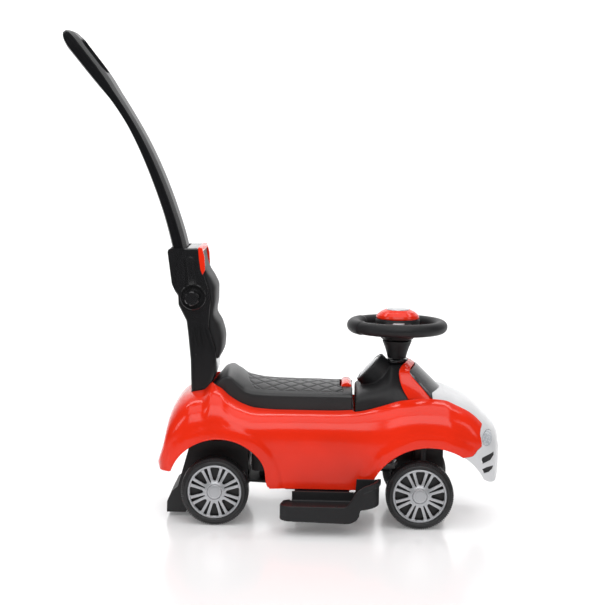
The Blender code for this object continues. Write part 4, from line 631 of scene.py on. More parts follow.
def section_levels(x, grow):
    bottom, top = sill(x), crown(x)
    waist = bottom + min(WAIST_Z - SILL_Z, 0.45 * (top - bottom))
    return max(half_width(x) + grow, 0.002), bottom, waist, top + grow


def side_y(x, z):
    """The half width of the body's surface at a point of its side view."""
    half, bottom, waist, top = section_levels(x, 0.0)
    if z <= waist:
        across = half - WALL_LEAN * (waist - z) / max(waist - bottom, 1e-4)
    else:
        share = min((z - waist) / max(top - waist, 1e-4), 1.0)
        across = half * (1 - share ** squareness(x)) ** (1 / squareness(x))
    return across + flare_at(x, z)


def section(x, grow=0.0, drop=0.0, wall_points=7, arc_points=26):
    """The left half of the body's section, from the sill to the crown."""
    half, bottom, waist, top = section_levels(x, grow)
    side = []
    for k in range(wall_points):
        t = k / wall_points
        side.append((half - WALL_LEAN * (1 - t), bottom - drop * (1 - t) + (waist - bottom) * t))
    side += [(half * u, waist + (top - waist) * v) for u, v in quarter(arc_points + 1, squareness(x))]
    if grow >= 0:
        side = [(y + flare_at(x, z) * min(1.0, y / 0.1) ** 4, z) for y, z in side]
    side[-1] = (0.0, side[-1][1])
    return side


def stations(start, end, ends, near, count):
    """Places along a form, close together at both its ends."""
    inner = np.linspace(start + near, end - near, count)
    return [start + d for d in ends] + list(inner) + [end - d for d in reversed(ends)]


def body_form(grow=0.0, drop=0.0, step=0.0028):
    length = NOSE_X - REAR_END
    centre = (NOSE_X + REAR_END) / 2
    rings = []
    for x in stations(REAR_END, NOSE_X, (0.0, 0.0004, 0.001, 0.002, 0.0034), 0.005, int(length / step)):
        at = centre + (x - centre) * (length + 2 * grow) / length
        rings.append(both_sides(at, section(x, grow, drop)))
    return loft(rings)


# %% The edges where the shell is cut


def arch_point(ax, az, radius, tuck, a):
    """A point of a wheel arch's edge; the edge tucks in a little above the sill."""
    low = max(0.0, 1 - a / math.radians(35)) ** 1.5
    foot = max(0.0, 1 - a / math.radians(16)) ** 2
    return ax + radius * math.cos(a) - tuck * low * (1 - foot), az + radius * math.sin(a)


def arch_forms(depth=0.21):
    for ax, az, radius, tuck in ARCHES:
        arc = [arch_point(ax, az, radius, tuck, a) for a in np.linspace(0, math.pi, 97)]
        yield prism(arc + [(ax - radius, 0.0), (ax + radius, 0.0)], "Y", -depth, depth)


NOSE_FOOT_X = NOSE_X - 0.0880
NOSE_FOOT_Z = 0.1315
NOSE_EDGE = flowing(
    mm((-36.3, 187.5), (-42.5, 174.5), (-38.2, 158), (-37.7, 150), (-44.5, 145.5), (-50, 138), x=NOSE_X)
    + mm((-55, 133), (-74, 131.5), x=NOSE_X)
    + [(NOSE_FOOT_X, NOSE_FOOT_Z)],
    2,
)


def nose_side(gap):
    """What lies in front of the line between body and nose, moved back by a gap."""
    edge = [(NOSE_X - 0.0363, 0.300)] + NOSE_EDGE + [(NOSE_FOOT_X, 0.0200)]
    moved = [(x - gap, z + (gap if z < 0.15 else 0)) for x, z in edge]
    return prism(moved + [(NOSE_X + 0.05, 0.020), (NOSE_X + 0.05, 0.300)], "Y", -0.2, 0.2)


SEAT_REAR_X = -0.0110
SEAT_FRONT_X = 0.2405
SEAT_HALF = 0.080
HOOD_SIDE = 0.0885
DASH_REAR_X = 0.2455
seat_plan = smooth_curve(
    mm((0, -30), (4, -16), (12, -6), (30, 0), x=SEAT_REAR_X, y=SEAT_HALF) + [(SEAT_FRONT_X, SEAT_HALF)]
)


def seat_opening(gap=0.0005):
    edge = [(SEAT_REAR_X - gap, seat_plan(SEAT_REAR_X))]
    edge += [(SEAT_REAR_X + d - gap, seat_plan(SEAT_REAR_X + d) + gap) for d in np.linspace(0.001, 0.04, 16)]
    edge += [(SEAT_FRONT_X, SEAT_HALF + gap), (DASH_REAR_X - 0.001, HOOD_SIDE), (NOSE_X - 0.0340, HOOD_SIDE)]
    return prism(edge + [(x, -y) for x, y in reversed(edge)], "Z", 0.150, 0.40)


def post_opening():
    edge = mm((-48.3, 190), (-15.7, 190), (-15.7, 225.8), (-12.2, 238.8), (-4.7, 260), (-48.3, 260))
    return prism(edge, "Y", -0.0583, 0.0583)


def arch_bead(arch, side):
    """The rolled edge round a wheel arch, left out where the nose takes over."""
    points = []
    for a in np.linspace(0.02, math.pi - 0.02, 120):
        x, z = arch_point(*arch, a)
        on_nose = x > NOSE_FOOT_X + 0.0005 and z < NOSE_FOOT_Z
        if z >= sill(x) + 0.001 and not on_nose:
            points.append((x, side * (side_y(x, z) - 0.0013), z))
    return tube(points, 0.0016, 10)


# %% Cut the shell into the red body and the white nose

body = as_object("red_body", body_form())
cut(body, body_form(-WALL, 0.02))
nose = placed("white_nose", body.data.copy())

body.data.materials.append(RED)
cut(body, *arch_forms(), nose_side(0.0004), seat_opening(), post_opening())
shade(body, 38)
beads = [as_object("bead", arch_bead(arch, side), RED) for arch in ARCHES for side in (-1, 1)]
for bead in beads:
    bead.data.shade_smooth()
show(join(body, *beads), "car", "body_shell")

nose.data.materials.append(WHITE)
hood_panel = box((FRONT_X + 0.020, -HOOD_SIDE, 0.10), (NOSE_X - 0.0350, HOOD_SIDE, 0.40))
keep_inside(nose, fuse(as_object("border", nose_side(0.0)), hood_panel))
cut(nose, *arch_forms())

# %% [markdown]
# ## Lamps and grilles
#
# Each lamp is a rounded window in the nose with a lens that bulges a little, and below it are two slanted
# dark grilles. The inserts are cut from a layer of the same surface, so they follow its curve exactly.

# %% Windows and inserts

GRILLES = {
    "upper": mm((38.1, 125), (37, 130), (14.5, 137), (14, 131.8), (21, 122.8), (35.8, 118.8)),
    "lower": mm((37, 109), (27.5, 111.8), (14, 111.8), (16, 106.3), (23.5, 102), (32.5, 100.8)),
}
LAMP_X, LAMP_Z, LAMP_RADIUS = NOSE_X - 0.0275, 0.1628, 0.0100
INSERT_GAP = 0.0005


def grille_side(level, shrink):
    corners = GRILLES[level]
    cx = sum(p[0] for p in corners) / len(corners)
    cz = sum(p[1] for p in corners) / len(corners)
    scale = 1 - shrink / 0.008
    return rounded([(NOSE_X - cx - (x - cx) * scale, cz + (z - cz) * scale) for x, z in corners], 0.0010, 3)


def lamp_side(shrink):
    reach = LAMP_RADIUS - shrink
    return [(LAMP_X + reach * c, LAMP_Z + reach * 1.3 * s) for c, s in circle(48)]


def nose_insert(name, outline, side, outer, inner, finish):
    """A piece of a thin sheet of the nose's own surface, between two depths."""
    rings = []
    for x in np.linspace(NOSE_X - 0.060, NOSE_X, 26):
        out, back = section(x, outer, 0.0, 6, 16), section(x, inner, 0.0, 6, 16)
        rings.append([(x, y, z) for y, z in out[:-1]] + [(x, y, z) for y, z in reversed(back[:-1])])
    piece = as_object(name, loft(rings), finish)
    if side < 0:
        piece.data.transform(Matrix.Scale(-1, 4, (0, 1, 0)))
        piece.data.flip_normals()
    keep_inside(piece, nose_window(outline, side))
    return shade(piece, 30)


def nose_window(outline, side):
    return prism(outline, "Y", 0.055 * side, 0.150 * side)


for side, tag in SIDES:
    for outline in (grille_side("upper", 0), grille_side("lower", 0), lamp_side(0)):
        cut(nose, nose_window(outline, side))
    lamp = nose_insert("lamp_" + tag, lamp_side(INSERT_GAP), side, 0.0015, -0.0020, LENS)
    show(lamp, "car", "headlight_" + tag)
    for level in GRILLES:
        name = "grille_" + level + "_dark_" + tag
        grille = nose_insert(name, grille_side(level, INSERT_GAP), side, -0.0008, -0.0030, SATIN)
        show(grille, "car", "grille_" + level + "_" + tag)
show(shade(nose, 38), "car", "nose_cover")

# %% [markdown]
# ## Wheels
#
# Each wheel is three parts: a hard black tyre with fine bars round its shoulder, a silver cover with eight
# pairs of spokes, and a cap. The bars repeat ninety-six times, which is work for Geometry Nodes: a circle of
# points, one small bar on each, turned to face outwards. The cover is a dished disc with sixteen windows.

# %% Shoulder bars by Geometry Nodes

REPEAT_NODES = {
    "asked": "NodeGroupInput", "ring": "GeometryNodeMeshCircle", "bar": "GeometryNodeMeshCube",
    "place": "GeometryNodeInputPosition", "face": "FunctionNodeAlignEulerToVector",
    "put": "GeometryNodeInstanceOnPoints", "by": "ShaderNodeCombineXYZ", "lift": "GeometryNodeTransform",
    "real": "GeometryNodeRealizeInstances", "paint": "GeometryNodeSetMaterial", "end": "NodeGroupOutput",
}
REPEAT_LINKS = (
    ("asked", "Count", "ring", "Vertices"), ("asked", "Radius", "ring", "Radius"),
    ("asked", "Bar Size", "bar", "Size"), ("place", 0, "face", "Vector"), ("ring", "Mesh", "put", "Points"),
    ("bar", "Mesh", "put", "Instance"), ("face", 0, "put", "Rotation"), ("put", 0, "lift", "Geometry"),
    ("asked", "Height", "by", "Z"), ("by", 0, "lift", "Translation"), ("lift", 0, "real", 0),
    ("real", 0, "paint", "Geometry"), ("paint", 0, "end", 0),
)


def repeat_round(name, finish, count, radius, bar, height):
    """A ring of bars as a plain mesh about the Z axis, built by a node tree with named inputs."""
    tree = bpy.data.node_groups.new(name, "GeometryNodeTree")
    tree.interface.new_socket(name="Geometry", in_out="OUTPUT", socket_type="NodeSocketGeometry")
    asked = {}
    for label, kind, value in (
        ("Count", "NodeSocketInt", count), ("Radius", "NodeSocketFloat", radius),
        ("Bar Size", "NodeSocketVector", bar), ("Height", "NodeSocketFloat", height),
    ):
        made = tree.interface.new_socket(name=label, in_out="INPUT", socket_type=kind)
        made.default_value = value
        asked[label] = made.identifier
    step = {key: tree.nodes.new(kind) for key, kind in REPEAT_NODES.items()}
    step["face"].axis = "X"
    step["paint"].inputs["Material"].default_value = finish
    for start, out, end, into in REPEAT_LINKS:
        tree.links.new(step[start].outputs[out], step[end].inputs[into])
    holder = placed(name, bpy.data.meshes.new(name))
    modifier = holder.modifiers.new("repeat", "NODES")
    modifier.node_group = tree
    modifier[asked["Count"]] = count
    return settle(holder)


# %% Tyre, cover and cap, lying on their backs at the car's own origin

WHEEL_RADIUS = 0.060
TYRE_HALF = 0.018
RIM_RADIUS = 0.0478
WHEEL_Y = 0.1035
COVER_FACE = TYRE_HALF - 0.003
SPOKE_PAIRS = 8
BAR_COUNT, BAR_RING, BAR_SIZE = 96, 0.0574, (0.0042, 0.0016, 0.0011)


def window(turn, points, radius):
    c, s = math.cos(turn), math.sin(turn)
    return prism([(r * c - t * s, r * s + t * c) for r, t in rounded(points, radius, 5)], "Z", 0.0, 0.03)


tyre_line = (
    mm((4.5, 2), (11.5, 2), y=-TYRE_HALF)
    + mm((12.5, -3), (44.1, -3))
    + mm((46.1, 0), (53.5, 0), y=-TYRE_HALF)
    + [(WHEEL_RADIUS, -TYRE_HALF + 0.0075), (WHEEL_RADIUS, TYRE_HALF - 0.0075), (0.0535, TYRE_HALF)]
    + mm((2.2, 0), (0.3, -2), (0.3, -12), x=RIM_RADIUS, y=TYRE_HALF)
    + mm((12.5, -12), (11.5, -10), (4.5, -10), y=TYRE_HALF)
)
tyre_soft = [0, 0.001, 0.001, 0.001, 0.001, 0.004, 0.006, 0.006, 0.004, 0.0012, 0.0006, 0, 0, 0.001, 0]
tyre = shade(as_object("tyre", turned(rounded(tyre_line, tyre_soft, 5), (0, 0, 0), UP, 112), TYRE), 40)
bars = repeat_round("shoulder_bars", TYRE, BAR_COUNT, BAR_RING, BAR_SIZE, TYRE_HALF - 0.0012)
bars.data.transform(Matrix.Translation((AXLE_X, 0, 0)))
join(tyre, bars)

cover_line = (
    mm((0, -2.5), y=COVER_FACE)
    + mm((0, -3), (0, 1), (-1.2, 2), (-3.2, 1.8), (-4.4, -0.2), x=RIM_RADIUS, y=COVER_FACE)
    + mm((30, 0.2), (16.5, 1.2), (15, 2.4), (13.4, 2.4), (12.8, 1), (0, 1), y=COVER_FACE)
)
cover = as_object("cover", turned(cover_line, (0, 0, 0), UP, 128), SILVER)
wide = mm((43.2, -9), (43.2, 9), (21.5, 2.7), (19.5, 0), (21.5, -2.7))
slim = mm((44, -3.1), (44, 3.1), (18, 1), (18, -1))
for k in range(SPOKE_PAIRS):
    a = 2 * math.pi / SPOKE_PAIRS * k + math.pi / 2
    cut(cover, window(a, wide, 0.0032), window(a + math.pi / SPOKE_PAIRS, slim, 0.0016))
cover = shade(bevelled(cover, 0.00045, 2), 40)

cap_line = mm((0, 1.3), (12.8, 1.3), (12.8, 2.4), (11.8, 3.4), (9, 3.7), (8.6, 3.3), (0, 3.6), y=COVER_FACE)
cap = shade(as_object("cap", turned(cap_line, (0, 0, 0), UP, 64), SILVER), 30)

# %% Four wheels from one

for end, x in (("front", FRONT_X), ("rear", 0.0)):
    for side, tag in SIDES:
        where = end + "_" + tag
        stand = Matrix.Translation((AXLE_X + x, side * WHEEL_Y, WHEEL_RADIUS))
        turn = Matrix.Rotation(-side * math.pi / 2, 4, "X") @ Matrix.Translation((-AXLE_X, 0, 0))
        for pattern, part, node in ((tyre, "hard_tyre_", "tyre_"), (cover, "spoke_cover_", "rim_"),
                                    (cap, "wheel_cap_", "hub_cap_")):
            mesh = pattern.data.copy()
            mesh.transform(stand @ turn)
            show(placed(part + where, mesh), "wheel_" + where, node + where)
for pattern in (tyre, cover, cap):
    bpy.data.objects.remove(pattern, do_unlink=True)

# %% [markdown]
# ## The seat lid
#
# The seat is one hollow moulding in hard satin plastic: a crowned top with a raised hump behind, a soft edge
# and upright sides. Its quilted middle is only a pattern in the mould: shallow diamonds with narrow grooves.
# A fine grid of points takes the grooves as small drops in height, which costs no extra pieces.

# %% The seat's curves

SEAT_HUMP = 0.2665
SEAT_TOP = 0.2430
SEAT_LENGTH = SEAT_FRONT_X - SEAT_REAR_X
SEAT_END_ROUND = 0.0024
CATCH_X = SEAT_FRONT_X - 0.0110
CATCH_RADIUS = 0.0100
QUILT_LENGTH, QUILT_WIDTH = 0.0320, 0.0340
QUILT_REAR, QUILT_FRONT, QUILT_SIDE = 0.050, 0.2240, 0.0660
GROOVE_DEEP, GROOVE_HALF = 0.0011, 0.0016

seat_top = soft_curve(
    mm((0, 237.5), (9, 248.5), (20, 261), x=SEAT_REAR_X)
    + mm((31, 0), (46, -4), (63, -14.5), x=SEAT_REAR_X, y=SEAT_HUMP)
    + mm((85, 3.5), (120, 0.5), x=SEAT_REAR_X, y=SEAT_TOP)
    + [(SEAT_FRONT_X, SEAT_TOP - 0.0015)],
    0.0015,
)
seat_crease = soft_curve(
    mm((0, 236), (9, 246.5), (20, 257.5), x=SEAT_REAR_X)
    + mm((31, -7), (46, -19), (63, -32), x=SEAT_REAR_X, y=SEAT_HUMP)
    + mm((85, -12.5), (120, -13.5), x=SEAT_REAR_X, y=SEAT_TOP)
    + [(SEAT_FRONT_X, SEAT_TOP - 0.0135)],
    0.0015,
)
seat_foot = soft_curve(
    mm((0, 231), (15, 223), (34, 212), (56, 203), (80, 199), x=SEAT_REAR_X) + [(SEAT_FRONT_X, 0.199)], 0.0015
)

# %% The quilted shell


def quilt_drop(x, y):
    """How deep the mould's groove is at a point of the seat's top."""
    rear = QUILT_REAR + 0.016 * (abs(y) / QUILT_SIDE) ** 2
    inside = min(x - rear, QUILT_FRONT - x, QUILT_SIDE - abs(y))
    if inside < 0:
        return 0.0
    u = (x - QUILT_REAR) / QUILT_LENGTH
    v = y / QUILT_WIDTH
    nearest = min(abs((t + 0.5) % 1.0 - 0.5) for t in (u + v, u - v))
    away = nearest / math.hypot(1 / QUILT_LENGTH, 1 / QUILT_WIDTH)
    groove = math.exp(-((min(away, inside) / GROOVE_HALF) ** 2))
    swell = 0.0006 * ease(inside / 0.004) * min(1.0, away / 0.006)
    return GROOVE_DEEP * groove - swell


def seat_side(x, inset, drop, count):
    top, crease, foot = seat_top(x) - inset, seat_crease(x) - inset, seat_foot(x) - drop
    rise = top - crease
    half = seat_plan(x) - inset
    flat = max(half - 0.008, 0.001)
    rows = [(half, foot), (half, crease - 0.0045), (half - 0.0012, crease - 0.0005)]
    rows += [(half - 0.0050, crease + rise * 0.18), (flat * 0.84, crease + rise * 0.50)]
    rows += [(flat * 0.55, crease + rise * 0.82), (flat * 0.25, top - rise * 0.03), (0.0, top)]
    return spaced(flowing(rows), count)


def seat_form(inset=0.0, drop=0.0, quilted=True, step=0.0012):
    centre = (SEAT_REAR_X + SEAT_FRONT_X) / 2
    ends = (0.0, 0.0004, 0.0012, 0.0024)
    rings = []
    for x in stations(SEAT_REAR_X, SEAT_FRONT_X, ends, 0.004, int(SEAT_LENGTH / step)):
        near_end = max(0.0, 1 - (SEAT_FRONT_X - x) / SEAT_END_ROUND)
        round_off = SEAT_END_ROUND * (1 - math.sqrt(1 - near_end ** 2)) if quilted else 0.0
        side = []
        for y, z in seat_side(x, inset, drop, 104 if quilted else 30):
            if z > seat_crease(x):
                z -= round_off + (quilt_drop(x, y) if quilted else 0.0)
            side.append((max(y - round_off, 0.0) if y > 0.06 else y, z))
        rings.append(both_sides(centre + (x - centre) * (1 - 2 * inset / SEAT_LENGTH), side))
    return loft(rings)


lid = as_object("quilted_seat_lid", seat_form(), SEAT_SATIN)
HINGE_X, HINGE_Z, HINGE_HOLE = 0.0120, 0.2470, 0.0030
NOTCH_HALF = 0.0375
notch = box((CATCH_X - CATCH_RADIUS - 0.0022, -NOTCH_HALF, 0.18), (SEAT_FRONT_X + 0.02, NOTCH_HALF, 0.30))
cut(lid, seat_form(WALL, 0.02, False, 0.006), notch)
lug_side = mm((7.2, 245), (12, 241.5), (17, 245), (18, 262), (8, 256.5))
lugs = [as_object("lug", prism(lug_side, "Y", 0.020 * side, 0.032 * side)) for side in (-1, 1)]
for lug in lugs:
    cut(lug, cross_bar(HINGE_X, HINGE_Z, (-0.05, 0.0, 0.05), HINGE_HOLE, 20))
show(join(shade(lid, 40), *lugs), "seat_lid", "seat_lid")

# %% The catch in front of the lid

CATCH_HALF, CATCH_FOOT = 0.036, 0.2100
catch_z = SEAT_TOP - 0.0075
arch_line = [(CATCH_X + CATCH_RADIUS * c, catch_z + CATCH_RADIUS * s) for c, s in arc(0, math.pi, 33)]
arch_line += [(CATCH_X - CATCH_RADIUS, CATCH_FOOT), (CATCH_X + CATCH_RADIUS, CATCH_FOOT)]
catch = bevelled(as_object("catch_bar", prism(arch_line, "Y", -CATCH_HALF, CATCH_HALF), RED), 0.0014)
fuse(catch, box((CATCH_X - 0.0040, -0.0290, 0.1880), (CATCH_X + 0.0040, 0.0290, 0.2120)))
show(shade(catch), "lid_catch", "lid_catch")

# %% [markdown]
# ## The push handle
#
# The handle is a hollow blow-moulded arm whose lean, depth and width change along its length. Sweeping a
# rounded section along a walked centre line gives all three at once. A small step runs along both its front
# edges, where the mould's halves meet, and the hand hole has fully rounded edges.

# %% Curves along the arm

HANDLE_LENGTH = 0.540
HANDLE_DEPTH = 0.0285
ARM_WIDTH = 0.104
LOOP_WIDTH, LOOP_HEIGHT, LOOP_RIM = 0.118, 0.073, 0.028
LOOP_ROUND = 0.0065
HANDLE_FOOT = (-0.0491, 0.3834)
SOCKET_LEAN = 14.0
KNOB_X, KNOB_Z = -0.0465, 0.3980
BOLT_GAP = 0.0005
BOLT_RADIUS = 0.0045
handle_lean = soft_curve([
    (0.0, SOCKET_LEAN), (0.108, SOCKET_LEAN), (0.136, 16.2), (0.193, 20.0), (0.250, 23.2), (0.306, 27.2),
    (0.362, 32.6), (0.406, 36.2), (0.453, 38.6), (HANDLE_LENGTH, 39.6),
], 0.008)
handle_thick = smooth_curve(
    mm((0, 0), (110, 0), (170, -2.5), (230, -4), (300, -7), (350, -9), (390, -8), (430, -1.5), (465, 1.5),
       y=HANDLE_DEPTH)
    + mm((-30, 2), (-12, -3), (-4, -11), (0, -19), x=HANDLE_LENGTH, y=HANDLE_DEPTH)
)
handle_across = smooth_curve(
    [(0.0, ARM_WIDTH), (0.330, ARM_WIDTH), (0.420, LOOP_WIDTH)]
    + mm((-40, 0), (-18, -14), (-6, -36), (0, -62), x=HANDLE_LENGTH, y=LOOP_WIDTH)
)


def handle_point(s):
    """The centre line's point and its two directions, by walking from the foot in short steps."""
    x, z = HANDLE_FOOT
    steps = max(1, math.ceil(s / 0.002))
    for k in range(steps):
        a = math.radians(handle_lean((k + 0.5) * s / steps))
        x -= math.sin(a) * s / steps
        z += math.cos(a) * s / steps
    a = math.radians(handle_lean(s))
    return Vector((x, 0, z)), Vector((-math.sin(a), 0, math.cos(a))), Vector((math.cos(a), 0, math.sin(a)))


# %% Sweep the arm


def handle_section(width, depth, ridge=0.00002):
    """A section with rounded corners; a real ridge gives it a crowned front and back and a small step."""
    half, deep = width / 2, depth / 2
    fall = 0.22 * depth if ridge > 0.00003 else 0.00001
    step = deep - fall - 0.0060
    right = [(half * 0.45, -deep + fall * 0.2), (half, -deep + fall), (half, step)]
    right += [(half - ridge, step + 0.0008), (half - ridge, deep - fall), (half * 0.45, deep - fall * 0.2)]
    round_by = [0.020, min(0.008, depth * 0.35), 0.0006, 0.0006, min(0.0040, depth * 0.3), 0.020]
    return rounded(right + [(-a, o) for a, o in reversed(right)], round_by + round_by[::-1], 6)


def handle_form():
    rings = []
    top = [0.539, 0.5395, 0.540]
    for s in list(np.linspace(0, 0.500, 150)) + list(np.linspace(0.5025, 0.538, 24)) + top:
        at, along, out = handle_point(s)
        ridge = 0.0013 * ease((0.535 - s) / 0.03) * ease((s - 0.09) / 0.02)
        line = handle_section(handle_across(s), handle_thick(s), max(ridge, 0.00004))
        rings.append([at + out * o + Vector((0, across, 0)) for across, o in line])
    return loft(rings)


def loop_form(deep=0.0148):
    """The hand hole's tool, which widens towards both faces of the arm as a quarter round."""
    end, along, out = handle_point(HANDLE_LENGTH)
    near = end - along * (LOOP_RIM + LOOP_HEIGHT)
    half = LOOP_WIDTH / 2 - LOOP_RIM
    rings = []
    for level in np.concatenate([np.linspace(-1.25, -0.45, 17), np.linspace(0.45, 1.25, 17)]):
        beyond = max(0.0, abs(level) * deep - (deep - LOOP_ROUND))
        inside = min(beyond, LOOP_ROUND)
        grow = LOOP_ROUND - math.sqrt(LOOP_ROUND ** 2 - inside ** 2) + (beyond - inside) * 3
        wide, high = half + grow, LOOP_HEIGHT + grow
        corners = [(-wide, -grow), (wide, -grow), (wide, high), (-wide, high)]
        ring = []
        for across, t in rounded(corners, 0.022 + grow, 9):
            local = handle_thick(HANDLE_LENGTH - LOOP_RIM - LOOP_HEIGHT + min(max(t, 0.0), LOOP_HEIGHT)) / 2
            ring.append(near + along * t + Vector((0, across, 0)) + out * level * local)
        rings.append(ring)
    return loft(rings)


def clamp_slot(reach=0.08):
    """The open slot in the arm's foot for the clamp's bolt."""
    at, along, out = handle_point(0.0)
    bolt = Vector((KNOB_X, 0, KNOB_Z))
    down = -(bolt - at).dot(along) - 0.02
    wide = BOLT_RADIUS + BOLT_GAP
    shape = [(down, -wide), (0.0, -wide)]
    shape += [(wide * s, -wide * c) for c, s in arc(0.2, 2.9, 12)]
    shape += [(0.0, wide), (down, wide)]
    ends = (bolt - Vector((0, reach, 0)), bolt + Vector((0, reach, 0)))
    return loft([[end + along * t + out * o for t, o in shape] for end in ends])


handle = as_object("push_arm", handle_form(), ARM_BLACK)
cut(handle, loop_form(), clamp_slot())
show(shade(handle, 30), "push_handle", "handle")

# %% [markdown]
# ## Backrest shells, trim and pad
#
# Two glossy half shells close round the handle's foot. Their outline is drawn once from the side and turned
# into a slab whose edges are rounded by insetting the outline near both ends, so the long highlights run
# clean along the edges. A sunk panel, a raised rib and three fanned ridges are on each side.

# %% Outlines from the side

POST_HALF = 0.058
SHELL_SIDE = mm(
    (-94, 483.5), (-85, 420), (-79, 407.5), (-73.5, 400), (-72.5, 383), (-58, 355), (-55, 333), (-50, 285),
    (-48, 225), (-48, 139.3), (-16, 139.3), (-16, 226), (-12.5, 239), (-5, 260), (-3.5, 285), (-6.5, 308),
    (-18, 343), (-16.5, 370), (-15, 386), (-18, 410), (-27, 438), (-32, 453), (-33, 478), (-39, 485),
)
SHELL_ROUND = [0.008] + [0.010] * 8 + [0.008, 0.008] + [0.010] * 11 + [0.006, 0.006]
SPLIT = mm((-30, 100), (-30, 300), (-33, 355), (-35, 385), (-59, 485.5), (-64, 520))
HOLLOW_SIDE = mm(
    (-44, 100), (-44, 225), (-45.5, 285), (-50.5, 333), (-53, 350), (-50, 370), (-23, 370), (-22, 343),
    (-10.5, 308), (-7.8, 285), (-8.8, 260), (-13, 239), (-20, 226), (-20, 100),
)
TRIM_SIDE = mm(
    (-38.5, 486), (-37, 467.2), (-33.9, 446.7), (-30.1, 437.4), (-25.4, 446.9), (-26.7, 469.3), (-31.5, 486)
)
PANEL_SIDE = rounded(mm(
    (-46.8, 342.6), (-24.4, 344.4), (-11.8, 312.2), (-8.5, 285.3), (-15, 258.5), (-23.6, 226.2),
    (-43, 226.2), (-46, 303),
), 0.006, 4)
REAR_FLANGE = mm((-100, 500), (-61, 500), (-62.5, 483), (-74.8, 464), (-77.5, 430), (-79, 406), (-100, 404))
RIDGES = (
    mm((-45.5, 350), (-44, 330), (-38.5, 308)),
    mm((-37, 348), (-34.5, 328), (-27.5, 306)),
    mm((-27.5, 347), (-22.5, 328), (-13, 302)),
)
SCREWS = ((-0.0665, 0.3934), (-0.0400, 0.2960))
RIB_STEPS, RIB_ROOT = 14, 0.0030
RIDGE_WIDE = 0.0034
BACK_RIB = mm((-62, 417), (-64, 440), (-64.5, 461))
PANEL_DEEP, FLANGE_DEEP = 0.0022, 0.0040
SHELL_EDGE, SHELL_GAP = 0.0028, 0.0003
HOLLOW_HALF = 0.054
SOCKET_REACH = (-0.0015, 0.14)
KNOB_WELL, WELL_FLOOR = 0.0205, -0.0545
TRIM_HALF, TRIM_INNER, TRIM_UNDER = 0.0585, 0.0526, 0.4790

# %% Slabs with rounded edges, ribs and screws


def inset_line(outline, distance):
    """Move a closed outline inwards by a small distance."""
    turns = sum(a[0] * b[1] - b[0] * a[1] for a, b in zip(outline, outline[1:] + outline[:1]))
    by = distance if turns > 0 else -distance
    moved = []
    for i, here in enumerate(outline):
        back = (Vector(here) - Vector(outline[i - 1])).normalized()
        on = (Vector(outline[(i + 1) % len(outline)]) - Vector(here)).normalized()
        along = (back + on).normalized()
        moved.append((here[0] - along.y * by, here[1] + along.x * by))
    return moved


def slab(outline, low, high, round_by, steps=5):
    """Extrude a side outline along Y with both its edges rounded."""
    rows = sorted((low + round_by * (1 - s), round_by * (1 - c)) for c, s in arc(0, math.pi / 2, steps + 1))
    rows += [(high - (y - low), inset) for y, inset in reversed(rows)]
    return loft([[(x, y, z) for x, z in inset_line(outline, inset)] for y, inset in rows])


def screw_at(x, z, side):
    """A screw's well as a tool and the screw that stands in it."""
    face = side * POST_HALF
    out = (0, side, 0)
    well = turned(mm((0, -3), (3.1, -3), (3.4, 1), (0, 1)), (x, face, z), out, 28)
    head = turned(mm((0, -2.9), (2.6, -2.9), (2.2, -1.4), (0, -1.1)), (x, face, z), out, 24)
    screw = as_object("screw", head, STEEL)
    for a, b in ((0.0016, 0.0004), (0.0004, 0.0016)):
        cut(screw, box((x - a, face, z - b), (x + a, face - side * 0.002, z + b)))
    return well, shade(screw)


def rib_form(points, width, side, proud):
    """A low rib along a side line, standing a little proud of the shell's face."""
    line = spaced(flowing(points, 2), RIB_STEPS)
    left, right = [], []
    for i, here in enumerate(line):
        along = along_line(line, i)
        wide = width / 2 * (0.35 + 0.65 * math.sin(math.pi * (i + 0.5) / RIB_STEPS) ** 0.5)
        left.append((here[0] - along.y * wide, here[1] + along.x * wide))
        right.append((here[0] + along.y * wide, here[1] - along.x * wide))
    return prism(left + right[::-1], "Y", side * (POST_HALF - RIB_ROOT), side * (POST_HALF + proud))


def arch_panel(left, right, bottom, top, lean):
    """An outline with a round top, leaning with the shell."""
    half = (right - left) / 2
    middle = (left + right) / 2
    shape = [(left, bottom), (right, bottom)]
    shape += [(middle + half * c, top - half + half * s) for c, s in arc(0, math.pi, 15)]
    return rounded([(x - lean * (z - bottom), z) for x, z in shape], 0.001, 2)


def shell_details(side):
    """What is sunk into a shell's side and what is raised on it."""
    sunk = [prism(PANEL_SIDE, "Y", side * (POST_HALF - PANEL_DEEP), side * (POST_HALF + 0.002))]
    sunk.append(prism(REAR_FLANGE, "Y", side * (POST_HALF - FLANGE_DEEP), side * (POST_HALF + 0.004)))
    raised = [rib_form(BACK_RIB, 0.0062, side, 0.0022)]
    ends = sorted((side * (POST_HALF - 0.0020), side * (POST_HALF + 0.0018)))
    raised.append(slab(arch_panel(-0.0545, -0.0400, 0.4190, 0.4700, 0.10), *ends, 0.0009, 3))
    raised += [rib_form(line, RIDGE_WIDE, side, 0.0004) for line in RIDGES]
    return sunk, raised


# %% The two half shells


def cylinder(radius, low, high, at, direction):
    return turned([(0, low), (radius, low), (radius, high), (0, high)], at, direction, 72)


def socket_form(grow=0.0005):
    at, along, out = handle_point(0.0)
    line = handle_section(ARM_WIDTH + 2 * grow, HANDLE_DEPTH + 2 * grow)
    return loft([[at + along * s + out * o + Vector((0, a, 0)) for a, o in line] for s in SOCKET_REACH])


